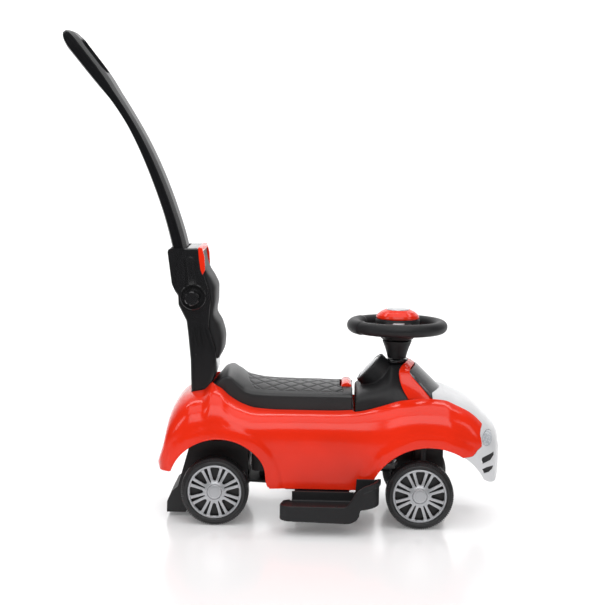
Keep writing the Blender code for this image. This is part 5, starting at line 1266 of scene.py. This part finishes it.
def shell_object(name, half, screws):
    """One half shell, cut for screws at the given places, with their heads returned beside it."""
    outline = rounded(SHELL_SIDE, SHELL_ROUND, 5)
    shell = as_object(name, slab(outline, -POST_HALF, POST_HALF, SHELL_EDGE), BLACK)
    heads = []
    for side in (-1, 1):
        sunk, raised = shell_details(side)
        cut(shell, *sunk)
        fuse(shell, *raised)
        for x, z in screws:
            well, head = screw_at(x, z, side)
            cut(shell, well)
            heads.append(head)
    ring = mm((19.5, -2), (23.6, -2), (23.2, 0.8), (22.2, 1.5), (20.5, 1.5), (19.5, 0.8))
    fuse(shell, turned(ring, (KNOB_X, -POST_HALF, KNOB_Z), (0, -1, 0), 72))
    keep_inside(shell, prism(half, "Y", -0.1, 0.1))
    bolt = cross_bar(KNOB_X, KNOB_Z, (-0.1, 0.0, 0.1), BOLT_RADIUS + BOLT_GAP, 32)
    well = cylinder(KNOB_WELL, 0, 0.0155, (KNOB_X, WELL_FLOOR, KNOB_Z), (0, -1, 0))
    cut(shell, socket_form(), prism(HOLLOW_SIDE, "Y", -HOLLOW_HALF, HOLLOW_HALF), bolt, well)
    return shell, heads


def trim_strip(name, grow, finish=None):
    """The strip over the shell's top with its two legs; grown a little, it cuts its own seat."""
    outline = inset_line(TRIM_SIDE, -grow)
    strip = as_object(name, prism(outline, "Y", -TRIM_HALF - grow, TRIM_HALF + grow), finish)
    return cut(strip, box((-0.1, grow - TRIM_INNER, 0.42), (0.1, TRIM_INNER - grow, TRIM_UNDER - grow)))


rear_shell, heads = shell_object("rear_half_shell", [(-0.20, 0.52), (-0.20, 0.10)] + SPLIT, SCREWS)
show(join(shade(rear_shell, 32), *heads), "car", "backrest_rear_shell")
front_half = [(0.10, 0.52), (0.10, 0.10)] + [(x + SHELL_GAP, z) for x, z in SPLIT]
front_shell, heads = shell_object("front_half_shell", front_half, ())
cut(front_shell, trim_strip("seat_for_trim", SHELL_GAP))
show(shade(front_shell, 32), "car", "backrest_front_shell")
trim = bevelled(trim_strip("trim_strip", 0.0, RED), 0.0009)
show(shade(trim, 40), "car", "backrest_trim")

# %% Waved pad

PAD_FOOT, PAD_TOP, PAD_HALF = 0.286, 0.478, 0.052
SHELL_FRONT = SHELL_SIDE[13:23]
pad_front = soft_curve(
    [(PAD_FOOT, 0.0010)]
    + mm((303, 7.5), (321, 9), (347, 3), (367, -8), (390, -5.2), (412, -5), (429, -11.8), (443, -21.5))
    + mm((456, -27))
    + [(PAD_TOP, -0.0320)],
    0.002,
)


def pad_form():
    """The pad follows the shell's front; its edges draw in towards its foot and its top."""
    rings = []
    for z in np.linspace(PAD_FOOT, PAD_TOP - 0.0005, 110):
        end = min(z - PAD_FOOT, PAD_TOP - z)
        fade = math.sqrt(1 - max(0.0, 1 - end / 0.010) ** 2)
        half = PAD_HALF * (0.82 + 0.18 * fade)
        rear = float(np.interp(z, [p[1] for p in SHELL_FRONT], [p[0] for p in SHELL_FRONT])) + 0.0006
        deep = max(pad_front(z) - rear, 0.0012) * (0.55 + 0.45 * fade)
        side = [(rear + deep * v, half * u) for u, v in quarter(26, 3.2)]
        rings.append([(x, -y, z) for x, y in side] + [(x, y, z) for x, y in reversed(side[:-1])])
    return loft(rings)


show(shade(as_object("waved_pad", pad_form(), SATIN), 50), "car", "backrest_pad")

# %% [markdown]
# ## The clamp knob
#
# The knob is turned as on a lathe: a stem, a ring and a cap, then six finger hollows are cut round its
# rim. It turns with its bolt, so knob and bolt are one piece.

# %% Turn the knob and cut its grips

knob_line = [(0, -0.0560), (BOLT_RADIUS, -0.0560), (BOLT_RADIUS, 0.0550)]
knob_line += mm((10, 55), (11.5, 57), (11.5, 60), (13, 64), (13, 84), (11.5, 86), (0, 86))
knob_soft = [0, 0, 0, 0.0008, 0.0008, 0.002, 0.002, 0.0012, 0.0016, 0]
knob_form = turned(rounded(knob_line, knob_soft, 4), (KNOB_X, 0, KNOB_Z), (0, -1, 0), 96)
knob = as_object("grip_knob", knob_form, BLACK)
FINGER_RING, FINGER_RADIUS = 0.0152, 0.0042
for c, s in circle(6):
    x, z = KNOB_X + FINGER_RING * c, KNOB_Z + FINGER_RING * s
    cut(knob, cross_bar(x, z, (-0.0900, -0.078, -0.0670), FINGER_RADIUS, 24))
show(shade(knob, 32), "clamp_knob", "clamp_knob")

# %% [markdown]
# ## The steering wheel
#
# The wheel is one satin moulding: a thick rim with a fatter grip at the rear, two flat spokes and a
# cup-shaped hub. The shapes are fused on a fine voxel grid and smoothed, which gives the soft joints of a
# moulding, and the button pockets are cut afterwards so that their edges stay crisp.

# %% Rim, hub and spokes in one

COLUMN_X = FRONT_X - 0.0418
RING_RADIUS, RING_TUBE, RING_Z = 0.0789, 0.0118, 0.3466
ROD_RADIUS = 0.0050
BUTTON_Y = 0.0530


def on_column(name, line, soft, corner_steps, steps, finish):
    """A piece turned about the steering column."""
    return as_object(name, turned(rounded(line, soft, corner_steps), (COLUMN_X, 0, 0), UP, steps), finish)


def rod_bore(levels, gap):
    return tube([(COLUMN_X, 0, z) for z in levels], ROD_RADIUS + gap, 32)


def rim_form():
    rings = []
    for c, s in circle(180):
        thick = RING_TUBE * (0.985 + 0.10 * ease((-c - 0.80) / 0.035))
        ring = [(RING_RADIUS + thick * u, RING_Z + thick * v) for u, v in circle(28)]
        rings.append([(COLUMN_X + r * c, r * s, z) for r, z in ring])
    return loft(rings, closed=True)


def spoke_form(side):
    rings = []
    for y, half, low, high in (
        (0.020, 0.0280, -0.0220, 0.0100), (0.045, 0.0270, -0.0130, 0.0080), (0.062, 0.0270, -0.0100, 0.0060),
        (RING_RADIUS, 0.0290, -0.0070, 0.0060),
    ):
        corners = [(-half, low), (half, low), (half * 0.85, high), (-half * 0.85, high)]
        rings.append([(COLUMN_X + x, side * y, RING_Z + z) for x, z in rounded(corners, 0.004, 4)])
    return loft(rings)


def button_outline(side, scale=1.0):
    shape = [(-0.0120, -0.0070), (0.0090, -0.0070), (0.0120, 0.0070), (-0.0090, 0.0070)]
    return rounded([(COLUMN_X + a * scale, side * BUTTON_Y + b * scale) for a, b in shape], 0.0012, 3)


wheel = as_object("steering_ring", rim_form(), SATIN)
hub_line = mm((0, -32), (29, -24), (38, -6), (40.5, 8), (39.5, 13.5), (0, 13.5), y=RING_Z)
fuse(wheel, turned(rounded(hub_line, [0, 0.006, 0.008, 0.003, 0.001, 0], 4), (COLUMN_X, 0, 0), UP, 72))
fuse(wheel, spoke_form(-1), spoke_form(1))
moulded(wheel, 0.0012, 5)
cut(wheel, *[prism(button_outline(side), "Z", RING_Z - 0.0015, RING_Z + 0.03) for side in (-1, 1)])
cut(wheel, rod_bore((RING_Z - 0.05, RING_Z - 0.03, RING_Z - 0.010), 0.0003))
show(shade(wheel, 45), "steering", "steering_wheel")

# %% Sleeve, cover, disc and buttons

sleeve_line = (
    [(ROD_RADIUS + 0.0003, 0.2880)]
    + mm((16.5, 288), (17.6, 292.5), (19.2, 299), (22.2, 308))
    + mm((27.2, -26.2), (23, -27.6), y=RING_Z)
    + [(0.0150, 0.3000), (ROD_RADIUS + 0.0003, 0.2960)]
)
sleeve = shade(on_column("cone_sleeve", sleeve_line, 0.0012, 3, 96, SATIN), 40)
screw_line = mm((0, 0), (3, 0), (2.8, 0.9), (2, 1.2), (1.7, 0.6), (0, 0.6))
sleeve_screw = turned(screw_line, (COLUMN_X, -0.0178, 0.2966), (0, -0.97, -0.22), 28)
sleeve_screw = as_object("sleeve_screw", sleeve_screw, STEEL)
sleeve_screw.data.shade_smooth()
show(join(sleeve, sleeve_screw), "steering", "column_sleeve")

base = RING_Z + 0.0138
dome_line = mm(
    (0, 0), (38.5, 0), (39.2, 2.2), (37.8, 6.2), (31, 12.2), (22.6, 16), (21.2, 15.8), (21, 14.5), (0, 14.5),
    y=base,
)
dome_soft = [0, 0.0006, 0.002, 0.004, 0.006, 0.0006, 0.0004, 0, 0]
show(shade(on_column("domed_cover", dome_line, dome_soft, 5, 112, RED)), "steering", "hub_cover")
disc_line = mm((0, 14.8), (20.6, 14.8), (20.2, 16.8), (15, 17.6), (0, 18), y=base)
disc = on_column("hub_plate", disc_line, [0, 0, 0.0008, 0.002, 0], 3, 96, SILVER)
show(shade(disc), "steering", "hub_disc")
for side, tag in SIDES:
    button = prism(button_outline(side, 0.935), "Z", RING_Z + 0.0020, RING_Z + 0.0105)
    button = bevelled(as_object("push_button_" + tag, button, SILVER), 0.0008, 3, 50)
    show(shade(button), "horn_" + tag, "horn_button_" + tag)

# %% [markdown]
# ## Dashboard, pod and dial
#
# The dashboard is a satin hump that carries a round pod, turned up towards the driver. A glossy black ring
# frames a pale dial whose marks are part of its finish: a ring of ticks worked out from the angle round the
# pod's own axis, with no lettering.

# %% The dashboard's hump and pod

POD_TILT = math.radians(47)
POD = Vector((DASH_REAR_X + 0.0245, 0.0, 0.2715))
POD_RADIUS = 0.0325
POD_FACE = Vector((-math.sin(POD_TILT), 0, math.cos(POD_TILT)))
DASH_HALF = 0.0870
DASH_FOOT, DASH_RISE = 0.200, 0.080
dash_top = soft_curve(mm((0, 230), (4, 234.5), (30, 244), (52, 264), (66, 279), (98, 280)), 0.002)
dash_half = soft_curve(
    [(DASH_FOOT, DASH_HALF), (0.2220, DASH_HALF - 0.0040)]
    + mm((240, 74), (254, 60), (266, 44), (274.5, 31), (279, 22), (280, 2)),
    0.002,
)


def dash_section(d, count=30):
    """The hump across the car at a distance from its rear: boxy behind, narrow and high in front."""
    rise = dash_top(d) - DASH_FOOT
    narrow = ease((d - 0.018) / 0.055)
    side = []
    for k, (u, v) in enumerate(quarter(count + 1, 5.5)):
        boxy = Vector(((DASH_HALF - 0.0008) * u, DASH_FOOT + rise * v))
        slim = Vector((dash_half(DASH_FOOT + DASH_RISE * k / count), DASH_FOOT + rise * k / count))
        side.append(tuple(boxy.lerp(slim, narrow)))
    side[-1] = (0.0, side[-1][1])
    return side


def dash_form():
    places = [0.0, 0.0006, 0.0016, 0.003] + list(np.linspace(0.005, 0.0935, 44))
    return loft([both_sides(DASH_REAR_X + d, dash_section(d)) for d in places])


dash = as_object("dash_hump", dash_form(), SATIN)
pod_line = [(0, -0.040), (POD_RADIUS * 1.03, -0.040), (POD_RADIUS * 1.01, -0.004), (POD_RADIUS, 0.0), (0, 0)]
fuse(dash, turned(rounded(pod_line, [0, 0, 0.004, 0.002, 0], 4), POD, POD_FACE, 72))
below = box((DASH_REAR_X - 0.02, -0.1, 0.10), (DASH_REAR_X + 0.12, 0.1, 0.2005))
cut(dash, below, box((DASH_REAR_X - 0.03, -0.1, 0.10), (DASH_REAR_X + 0.0001, 0.1, 0.250)))
moulded(dash, 0.0013, 6)
recess = cylinder(POD_RADIUS - 0.0035, -0.006, 0.01, POD, POD_FACE)
collar_seat = cylinder(0.0208, 0.2790, 0.34, (COLUMN_X, 0, 0), UP)
cut(dash, recess, rod_bore((0.18, 0.24, 0.30), 0.0008), collar_seat)
show(shade(dash, 45), "car", "dashboard")

# %% Ring, dial and collar


def dial_finish(name):
    """A pale dial with ticks and a ring round its edge and a plain hub, worked out in its own plane."""
    made = Finish(name, (0.30, 0.31, 0.33), 0.12, metallic=0.2, coat=0.8)
    across = made.axis("Y")
    x, z = made.axis("X") - (POD.x + AXLE_X), made.axis("Z") - POD.z
    up = x * math.cos(POD_TILT) + z * math.sin(POD_TILT)
    angle = made.maths("ARCTAN2", across, up)
    radius = made.maths("SQRT", across * across + up * up)
    beat = made.maths("ABSOLUTE", made.maths("SINE", angle * 12.0))
    tick = beat.step(0.93, 0.98) * radius.step(0.0172, 0.0176) * (1.0 - radius.step(0.0212, 0.0216))
    rim = radius.step(0.0226, 0.0229) * (1.0 - radius.step(0.0238, 0.0241))
    hub = 1.0 - radius.step(0.0030, 0.0034)
    marks = made.maths("MAXIMUM", made.maths("MAXIMUM", tick, rim), hub)
    made.set("Base Color", made.mix(marks, (0.42, 0.425, 0.435), (0.06, 0.06, 0.065)))
    made.set("Roughness", 0.12 + made.noise(600.0) * 0.08)
    return made.made


ring_radius = POD_RADIUS - 0.0038
ring_line = mm((0, 0), (0, 5.2), (-2.2, 6.8), (-3.2, 4.5), (-3.2, 0), x=ring_radius)
bezel = turned(rounded(ring_line, [0, 0.0015, 0.0012, 0.0008, 0], 4), POD - POD_FACE * 0.0057, POD_FACE, 96)
show(shade(as_object("dial_ring", bezel, BLACK), 40), "car", "gauge_bezel")

lens = ring_radius - 0.0035
dial_line = [(0, 0), (lens, 0)] + [(lens * s, 0.0030 + 0.0055 * c) for c, s in arc(1.5, 0, 9)]
dial = as_object("dial", turned(dial_line, POD - POD_FACE * 0.0050, POD_FACE, 96), dial_finish("dial_face"))
show(shade(dial, 40), "car", "gauge_dial")

collar_line = [(ROD_RADIUS + 0.0012, 0.2793)] + mm((19, 279.3), (20.7, 281.5), (20.7, 284.5), (18.8, 286.8))
collar_line += [(ROD_RADIUS + 0.0012, 0.2868)]
collar = on_column("collar_ring", collar_line, [0, 0.001, 0.002, 0.002, 0.002, 0.0005], 5, 96, BLACK)
show(shade(collar, 40), "car", "column_collar")

# %% [markdown]
# ## Windshield and its frame
#
# The screen is bowed, so its section is repeated across the car with its ends drawn back. The frame wraps
# over it from one shoulder to the other as a thin red band with a soft crease along its middle.

# %% Bowed screen

SCREEN_HALF = 0.0745
SCREEN_EDGE = 0.0008


def screen_form():
    rings = []
    for y in np.linspace(-SCREEN_HALF, SCREEN_HALF, 49):
        bow = (y / SCREEN_HALF) ** 2
        foot = Vector((FRONT_X + 0.0373 - 0.0170 * bow, y, 0.2376 - 0.0085 * bow))
        head = Vector((FRONT_X - 0.0065 - 0.0170 * bow, y * 0.72, 0.2796 - 0.0081 * bow))
        down = (foot - head).normalized()
        out = Vector((-down.z, 0, down.x)).normalized()
        edge = max(0.0, 1 - (SCREEN_HALF - abs(y)) / 0.0015) * SCREEN_EDGE
        ring = [foot - out * (SCREEN_EDGE + edge), foot - out * edge - down * SCREEN_EDGE]
        ring += [head - out * edge + down * SCREEN_EDGE, head - out * (SCREEN_EDGE + edge)]
        rings.append(ring + [head - out * SCREEN_EDGE * 3, foot - out * SCREEN_EDGE * 3])
    return loft(rings)


show(shade(as_object("bowed_screen", screen_form(), SCREEN), 40), "car", "windshield")

# %% Red frame round the screen

# Each row: rear x and front x from FRONT_X, y, rear z and front z, in millimetres.
FRAME_ROWS = [[v / 1000 for v in row] for row in (
    (-23, 16, 84, 227, 228), (-34, 2, 80, 245, 246), (-38.5, -11, 75.5, 258.5, 259),
    (-40.5, -21.5, 69, 272.5, 271.5), (-36.5, -20, 56, 281, 278), (-27.5, -14.5, 33, 285.5, 280.5),
    (-19, -8, 0, 287, 281.5),
)]
FRAME_THICK = 0.0045
FRAME_CREASE = 0.0007
FRAME_STEPS = 121


def frame_form():
    rows = [(rear, front, -y, rz, fz) for rear, front, y, rz, fz in FRAME_ROWS]
    line = spaced(flowing(rows + [tuple(row) for row in FRAME_ROWS[-2::-1]]), FRAME_STEPS)
    rings = []
    for i, (rear, front, y, rear_z, front_z) in enumerate(line):
        before, after = line[max(i - 1, 0)], line[min(i + 1, FRAME_STEPS - 1)]
        rise = (after[3] + after[4] - before[3] - before[4]) / 2
        along = Vector((0, after[2] - before[2], rise)).normalized()
        inward = Vector((0, along.z, -along.y))
        a = Vector((FRONT_X + rear, y, rear_z))
        b = Vector((FRONT_X + front, y, front_z))
        ring = [a + inward * 0.0006, a.lerp(b, 0.05), a.lerp(b, 0.45) - inward * FRAME_CREASE]
        ring += [a.lerp(b, 0.95), b + inward * 0.0006, b + inward * FRAME_THICK + (a - b) * 0.08]
        rings.append(ring + [a + inward * FRAME_THICK + (b - a) * 0.04])
    return loft(rings)


show(shade(as_object("screen_band", frame_form(), RED), 28), "car", "windshield_frame")

# %% [markdown]
# ## Footrests
#
# Each footrest is a blow-moulded tray with a low wall and a higher toe box in front, bolted to the sill. Its
# wall follows a path in plan that bends round the front, and its height rises along the bend. All its shapes
# are fused and smoothed together, and small screw heads stand on its floor.

# %% The tray's path

REST_REAR_X, REST_BEND_X, REST_FRONT_X = 0.117, 0.228, 0.290
REST_INNER_Y = FENDER - 0.0025
REST_OUTER_Y = REST_INNER_Y + 0.0585
REST_WALL, REST_FLOOR = 0.0035, 0.050
REST_CORNER = 0.020
SHELF_TOP = SILL_Z - 0.0025
# Each row: degrees round the bend, then the wall's top and foot in millimetres.
REST_BEND = (
    (0, 53.5, 24), (5, 55.5, 24), (10, 62, 24.4), (15, 70.5, 26.2), (20, 78, 28.5), (24, 82, 33),
    (27, 83.8, 39), (28, 84.3, 47), (36, 88, 47), (50, 90, 47), (64, 91.5, 47), (77, 92.5, 47),
    (90, 92.5, 47),
)
bend_top = smooth_curve([(a, top / 1000) for a, top, foot in REST_BEND])
bend_foot = smooth_curve([(a, foot / 1000) for a, top, foot in REST_BEND])


def bend_point(degrees):
    a = math.radians(degrees)
    x = REST_BEND_X + (REST_FRONT_X - REST_BEND_X) * math.sin(a)
    return x, REST_INNER_Y + (REST_OUTER_Y - REST_INNER_Y) * math.cos(a)


def rest_path():
    """Points along the wall: x, y, top and foot."""
    rows = [(REST_REAR_X + 0.0150, REST_INNER_Y, 0.0525, 0.0275)]
    rows += [(REST_REAR_X + 0.0050, REST_INNER_Y + 0.0090, 0.0528, 0.0272)]
    for c, s in arc(0, math.pi / 2, 9):
        x, y = REST_REAR_X + REST_CORNER * (1 - c), REST_OUTER_Y - REST_CORNER * (1 - s)
        rows.append((x, y, 0.0535, 0.0265))
    return rows + [(*bend_point(a), bend_top(a), bend_foot(a)) for a in np.linspace(0, 90, 46)]


def with_outward(rows):
    """Each row with the direction that points out of the tray there."""
    for k, row in enumerate(rows):
        along = along_line([row[:2] for row in rows], k)
        yield row, Vector((-along.y, along.x))


# %% Fuse and smooth one tray, then its mirror


def rest_object(side, tag):
    wall, floor, lip = [], [], []
    for (x, y, top, foot), out in with_outward(rest_path()):
        inner = (x - out.x * REST_WALL, side * (y - out.y * REST_WALL))
        wall.append([(x, side * y, foot), (x, side * y, top), (*inner, top), (*inner, foot)])
        p = Vector((0.205, 0.155)).lerp(Vector((x, y)), 0.98)
        floor.append((p.x, side * p.y))
    lip_rows = [(*bend_point(a), bend_top(a)) for a in (31, 36, 42, 48, 55, 62, 68, 74, 80, 87)]
    for k, ((x, y, top), out) in enumerate(with_outward(lip_rows)):
        reach = min(0.0030, 0.0005 + 0.0030 * k / 4)
        ring = [(-0.001, -0.0110), (reach, -0.0095), (reach, 0.0005), (-0.001, 0.0005)]
        lip.append([(x + out.x * d, side * (y + out.y * d), top + rise) for d, rise in ring])
    near, far = side * (REST_INNER_Y - 0.0005), side * (REST_INNER_Y + 0.0035)
    front = REST_FRONT_X - 0.0010
    toe_side = [(0.2470, 0.0480), (0.2495, 0.0915), (front, 0.0915), (front, 0.0480)]
    shelf_rear = (REST_REAR_X + 0.024, side * 0.0900, SHELF_TOP - 0.0045)
    shelf_front = (FRONT_X - 0.124, side * (REST_INNER_Y + 0.0010), SHELF_TOP - 0.0002)
    rest = as_object("moulded_footrest_" + tag, loft(wall), SATIN)
    fuse(
        rest, loft(lip), prism(floor, "Z", REST_FLOOR - 0.0035, REST_FLOOR),
        box((REST_REAR_X + 0.020, near, 0.0400), (REST_FRONT_X - 0.032, far, SHELF_TOP + 0.0018)),
        prism(toe_side, "Y", side * (REST_INNER_Y + 0.0015), side * (REST_INNER_Y + 0.0050)),
        box(shelf_rear, shelf_front),
    )
    return moulded(rest, 0.0012, 3)


REST_SCREWS = ((0.140, REST_OUTER_Y - 0.018), (0.215, REST_OUTER_Y - 0.018), (0.262, REST_INNER_Y + 0.020))
head_line = mm((0, -0.2), (3.4, -0.2), (3, 0.9), (0, 1.4), y=REST_FLOOR)
for side, tag in SIDES:
    heads = []
    for x, y in REST_SCREWS:
        head = as_object("head", turned(head_line, (x, side * y, 0), UP, 24), STEEL)
        head.data.shade_smooth()
        heads.append(head)
    show(join(rest_object(side, tag), *heads), "car", "footrest_" + tag)

# %% [markdown]
# ## The studio
#
# The photograph was taken in a white tent: the floor runs into the backdrop without a line, big soft lights
# hang above and beside the car, and the glossy table gives each wheel a faint reflection. A curved sheet
# makes floor and wall in one, and large area lights do the rest.

# %% Floor and backdrop

FLOOR_FRONT, FLOOR_BACK, FLOOR_HALF = -1.25, 2.2, 7.0
BEND, WALL_TOP = 1.6, 7.0
BELOW_WHEELS = 0.0002


def studio_sheet():
    bend = [(FLOOR_BACK + BEND * s, BEND - BEND * c) for c, s in arc(0, math.pi / 2, 13)]
    profile = [(FLOOR_FRONT, 0.0), *bend, (FLOOR_BACK + BEND, WALL_TOP)]
    bm = bmesh.new()
    left = [bm.verts.new((-FLOOR_HALF, y, z - BELOW_WHEELS)) for y, z in profile]
    right = [bm.verts.new((FLOOR_HALF, y, z - BELOW_WHEELS)) for y, z in profile]
    for i in range(len(profile) - 1):
        bm.faces.new((left[i], right[i], right[i + 1], left[i + 1]))
    mesh = bpy.data.meshes.new("studio_sheet")
    bm.to_mesh(mesh)
    bm.free()
    mesh.shade_smooth()
    paper = Finish("studio_paper", (0.93, 0.93, 0.935), 0.20)
    paper.set("Roughness", 0.16 + paper.noise(3.0) * 0.06)
    paper.set("Emission Color", (1.0, 1.0, 1.0))
    paper.set("Emission Strength", 0.14)
    mesh.materials.append(paper.made)
    placed("studio_sheet", mesh)


studio_sheet()

# %% Lights and surroundings


def area_light(name, at, aim, size, power):
    light = bpy.data.lights.new(name, "AREA")
    light.shape = "RECTANGLE"
    light.size, light.size_y = size
    light.energy = power
    made = placed(name, light)
    made.location = at
    made.rotation_euler = (Vector(aim) - Vector(at)).to_track_quat("-Z", "Y").to_euler()


# Each row: name, place, the point it faces, width and height in metres, and watts.
LIGHTS = (
    ("overhead", (0.0, -0.5, 2.8), (0.0, 0.0, 0.2), (3.4, 2.0), 34),
    ("front_key", (0.2, -3.0, 2.7), (0.0, 0.0, 0.2), (3.6, 2.4), 74),
    ("left_side", (-2.8, -1.6, 1.6), (0.0, 0.0, 0.3), (0.7, 1.8), 16),
    ("right_side", (2.8, -1.2, 1.7), (0.1, 0.0, 0.3), (0.7, 1.8), 8),
    ("backdrop_light", (0.0, 1.4, 3.4), (0.0, 3.6, 1.2), (5.0, 1.2), 110),
)
for row in LIGHTS:
    area_light(*row)

TENT_GLOW = 0.10
world = bpy.data.worlds.new("tent")
bpy.context.scene.world = world
world.use_nodes = True
background = world.node_tree.nodes["Background"].inputs
background["Color"].default_value = (1.0, 1.0, 1.0, 1.0)
background["Strength"].default_value = TENT_GLOW
bpy.context.scene.view_settings.view_transform = "Standard"

# %% [markdown]
# ## The camera
#
# A camera was fitted to the photograph's wheels, seat and handle: a long lens almost three metres away,
# a little above the car and looking slightly down. Its three turns are built as a matrix, because a small
# roll is easier to keep right that way than with three angles.

# %% Place the camera

EYE = Vector((0.1995 + AXLE_X, -2.8790, 0.7256))
YAW, PITCH, ROLL = (math.radians(v) for v in (1.04, 6.74, 1.02))
FOCAL_MM, SENSOR_MM = 95.2, 36.0
forward = Vector((-math.sin(YAW) * math.cos(PITCH), math.cos(YAW) * math.cos(PITCH), -math.sin(PITCH)))
level_right = forward.cross(Vector(UP)).normalized()
level_up = level_right.cross(forward)
right = level_right * math.cos(ROLL) + level_up * math.sin(ROLL)
up = level_up * math.cos(ROLL) - level_right * math.sin(ROLL)

camera_data = bpy.data.cameras.new("camera")
camera_data.lens, camera_data.sensor_width = FOCAL_MM, SENSOR_MM
camera = placed("camera", camera_data)
camera.matrix_world = Matrix.Translation(EYE) @ Matrix((right, up, -forward)).transposed().to_4x4()
bpy.context.scene.camera = camera
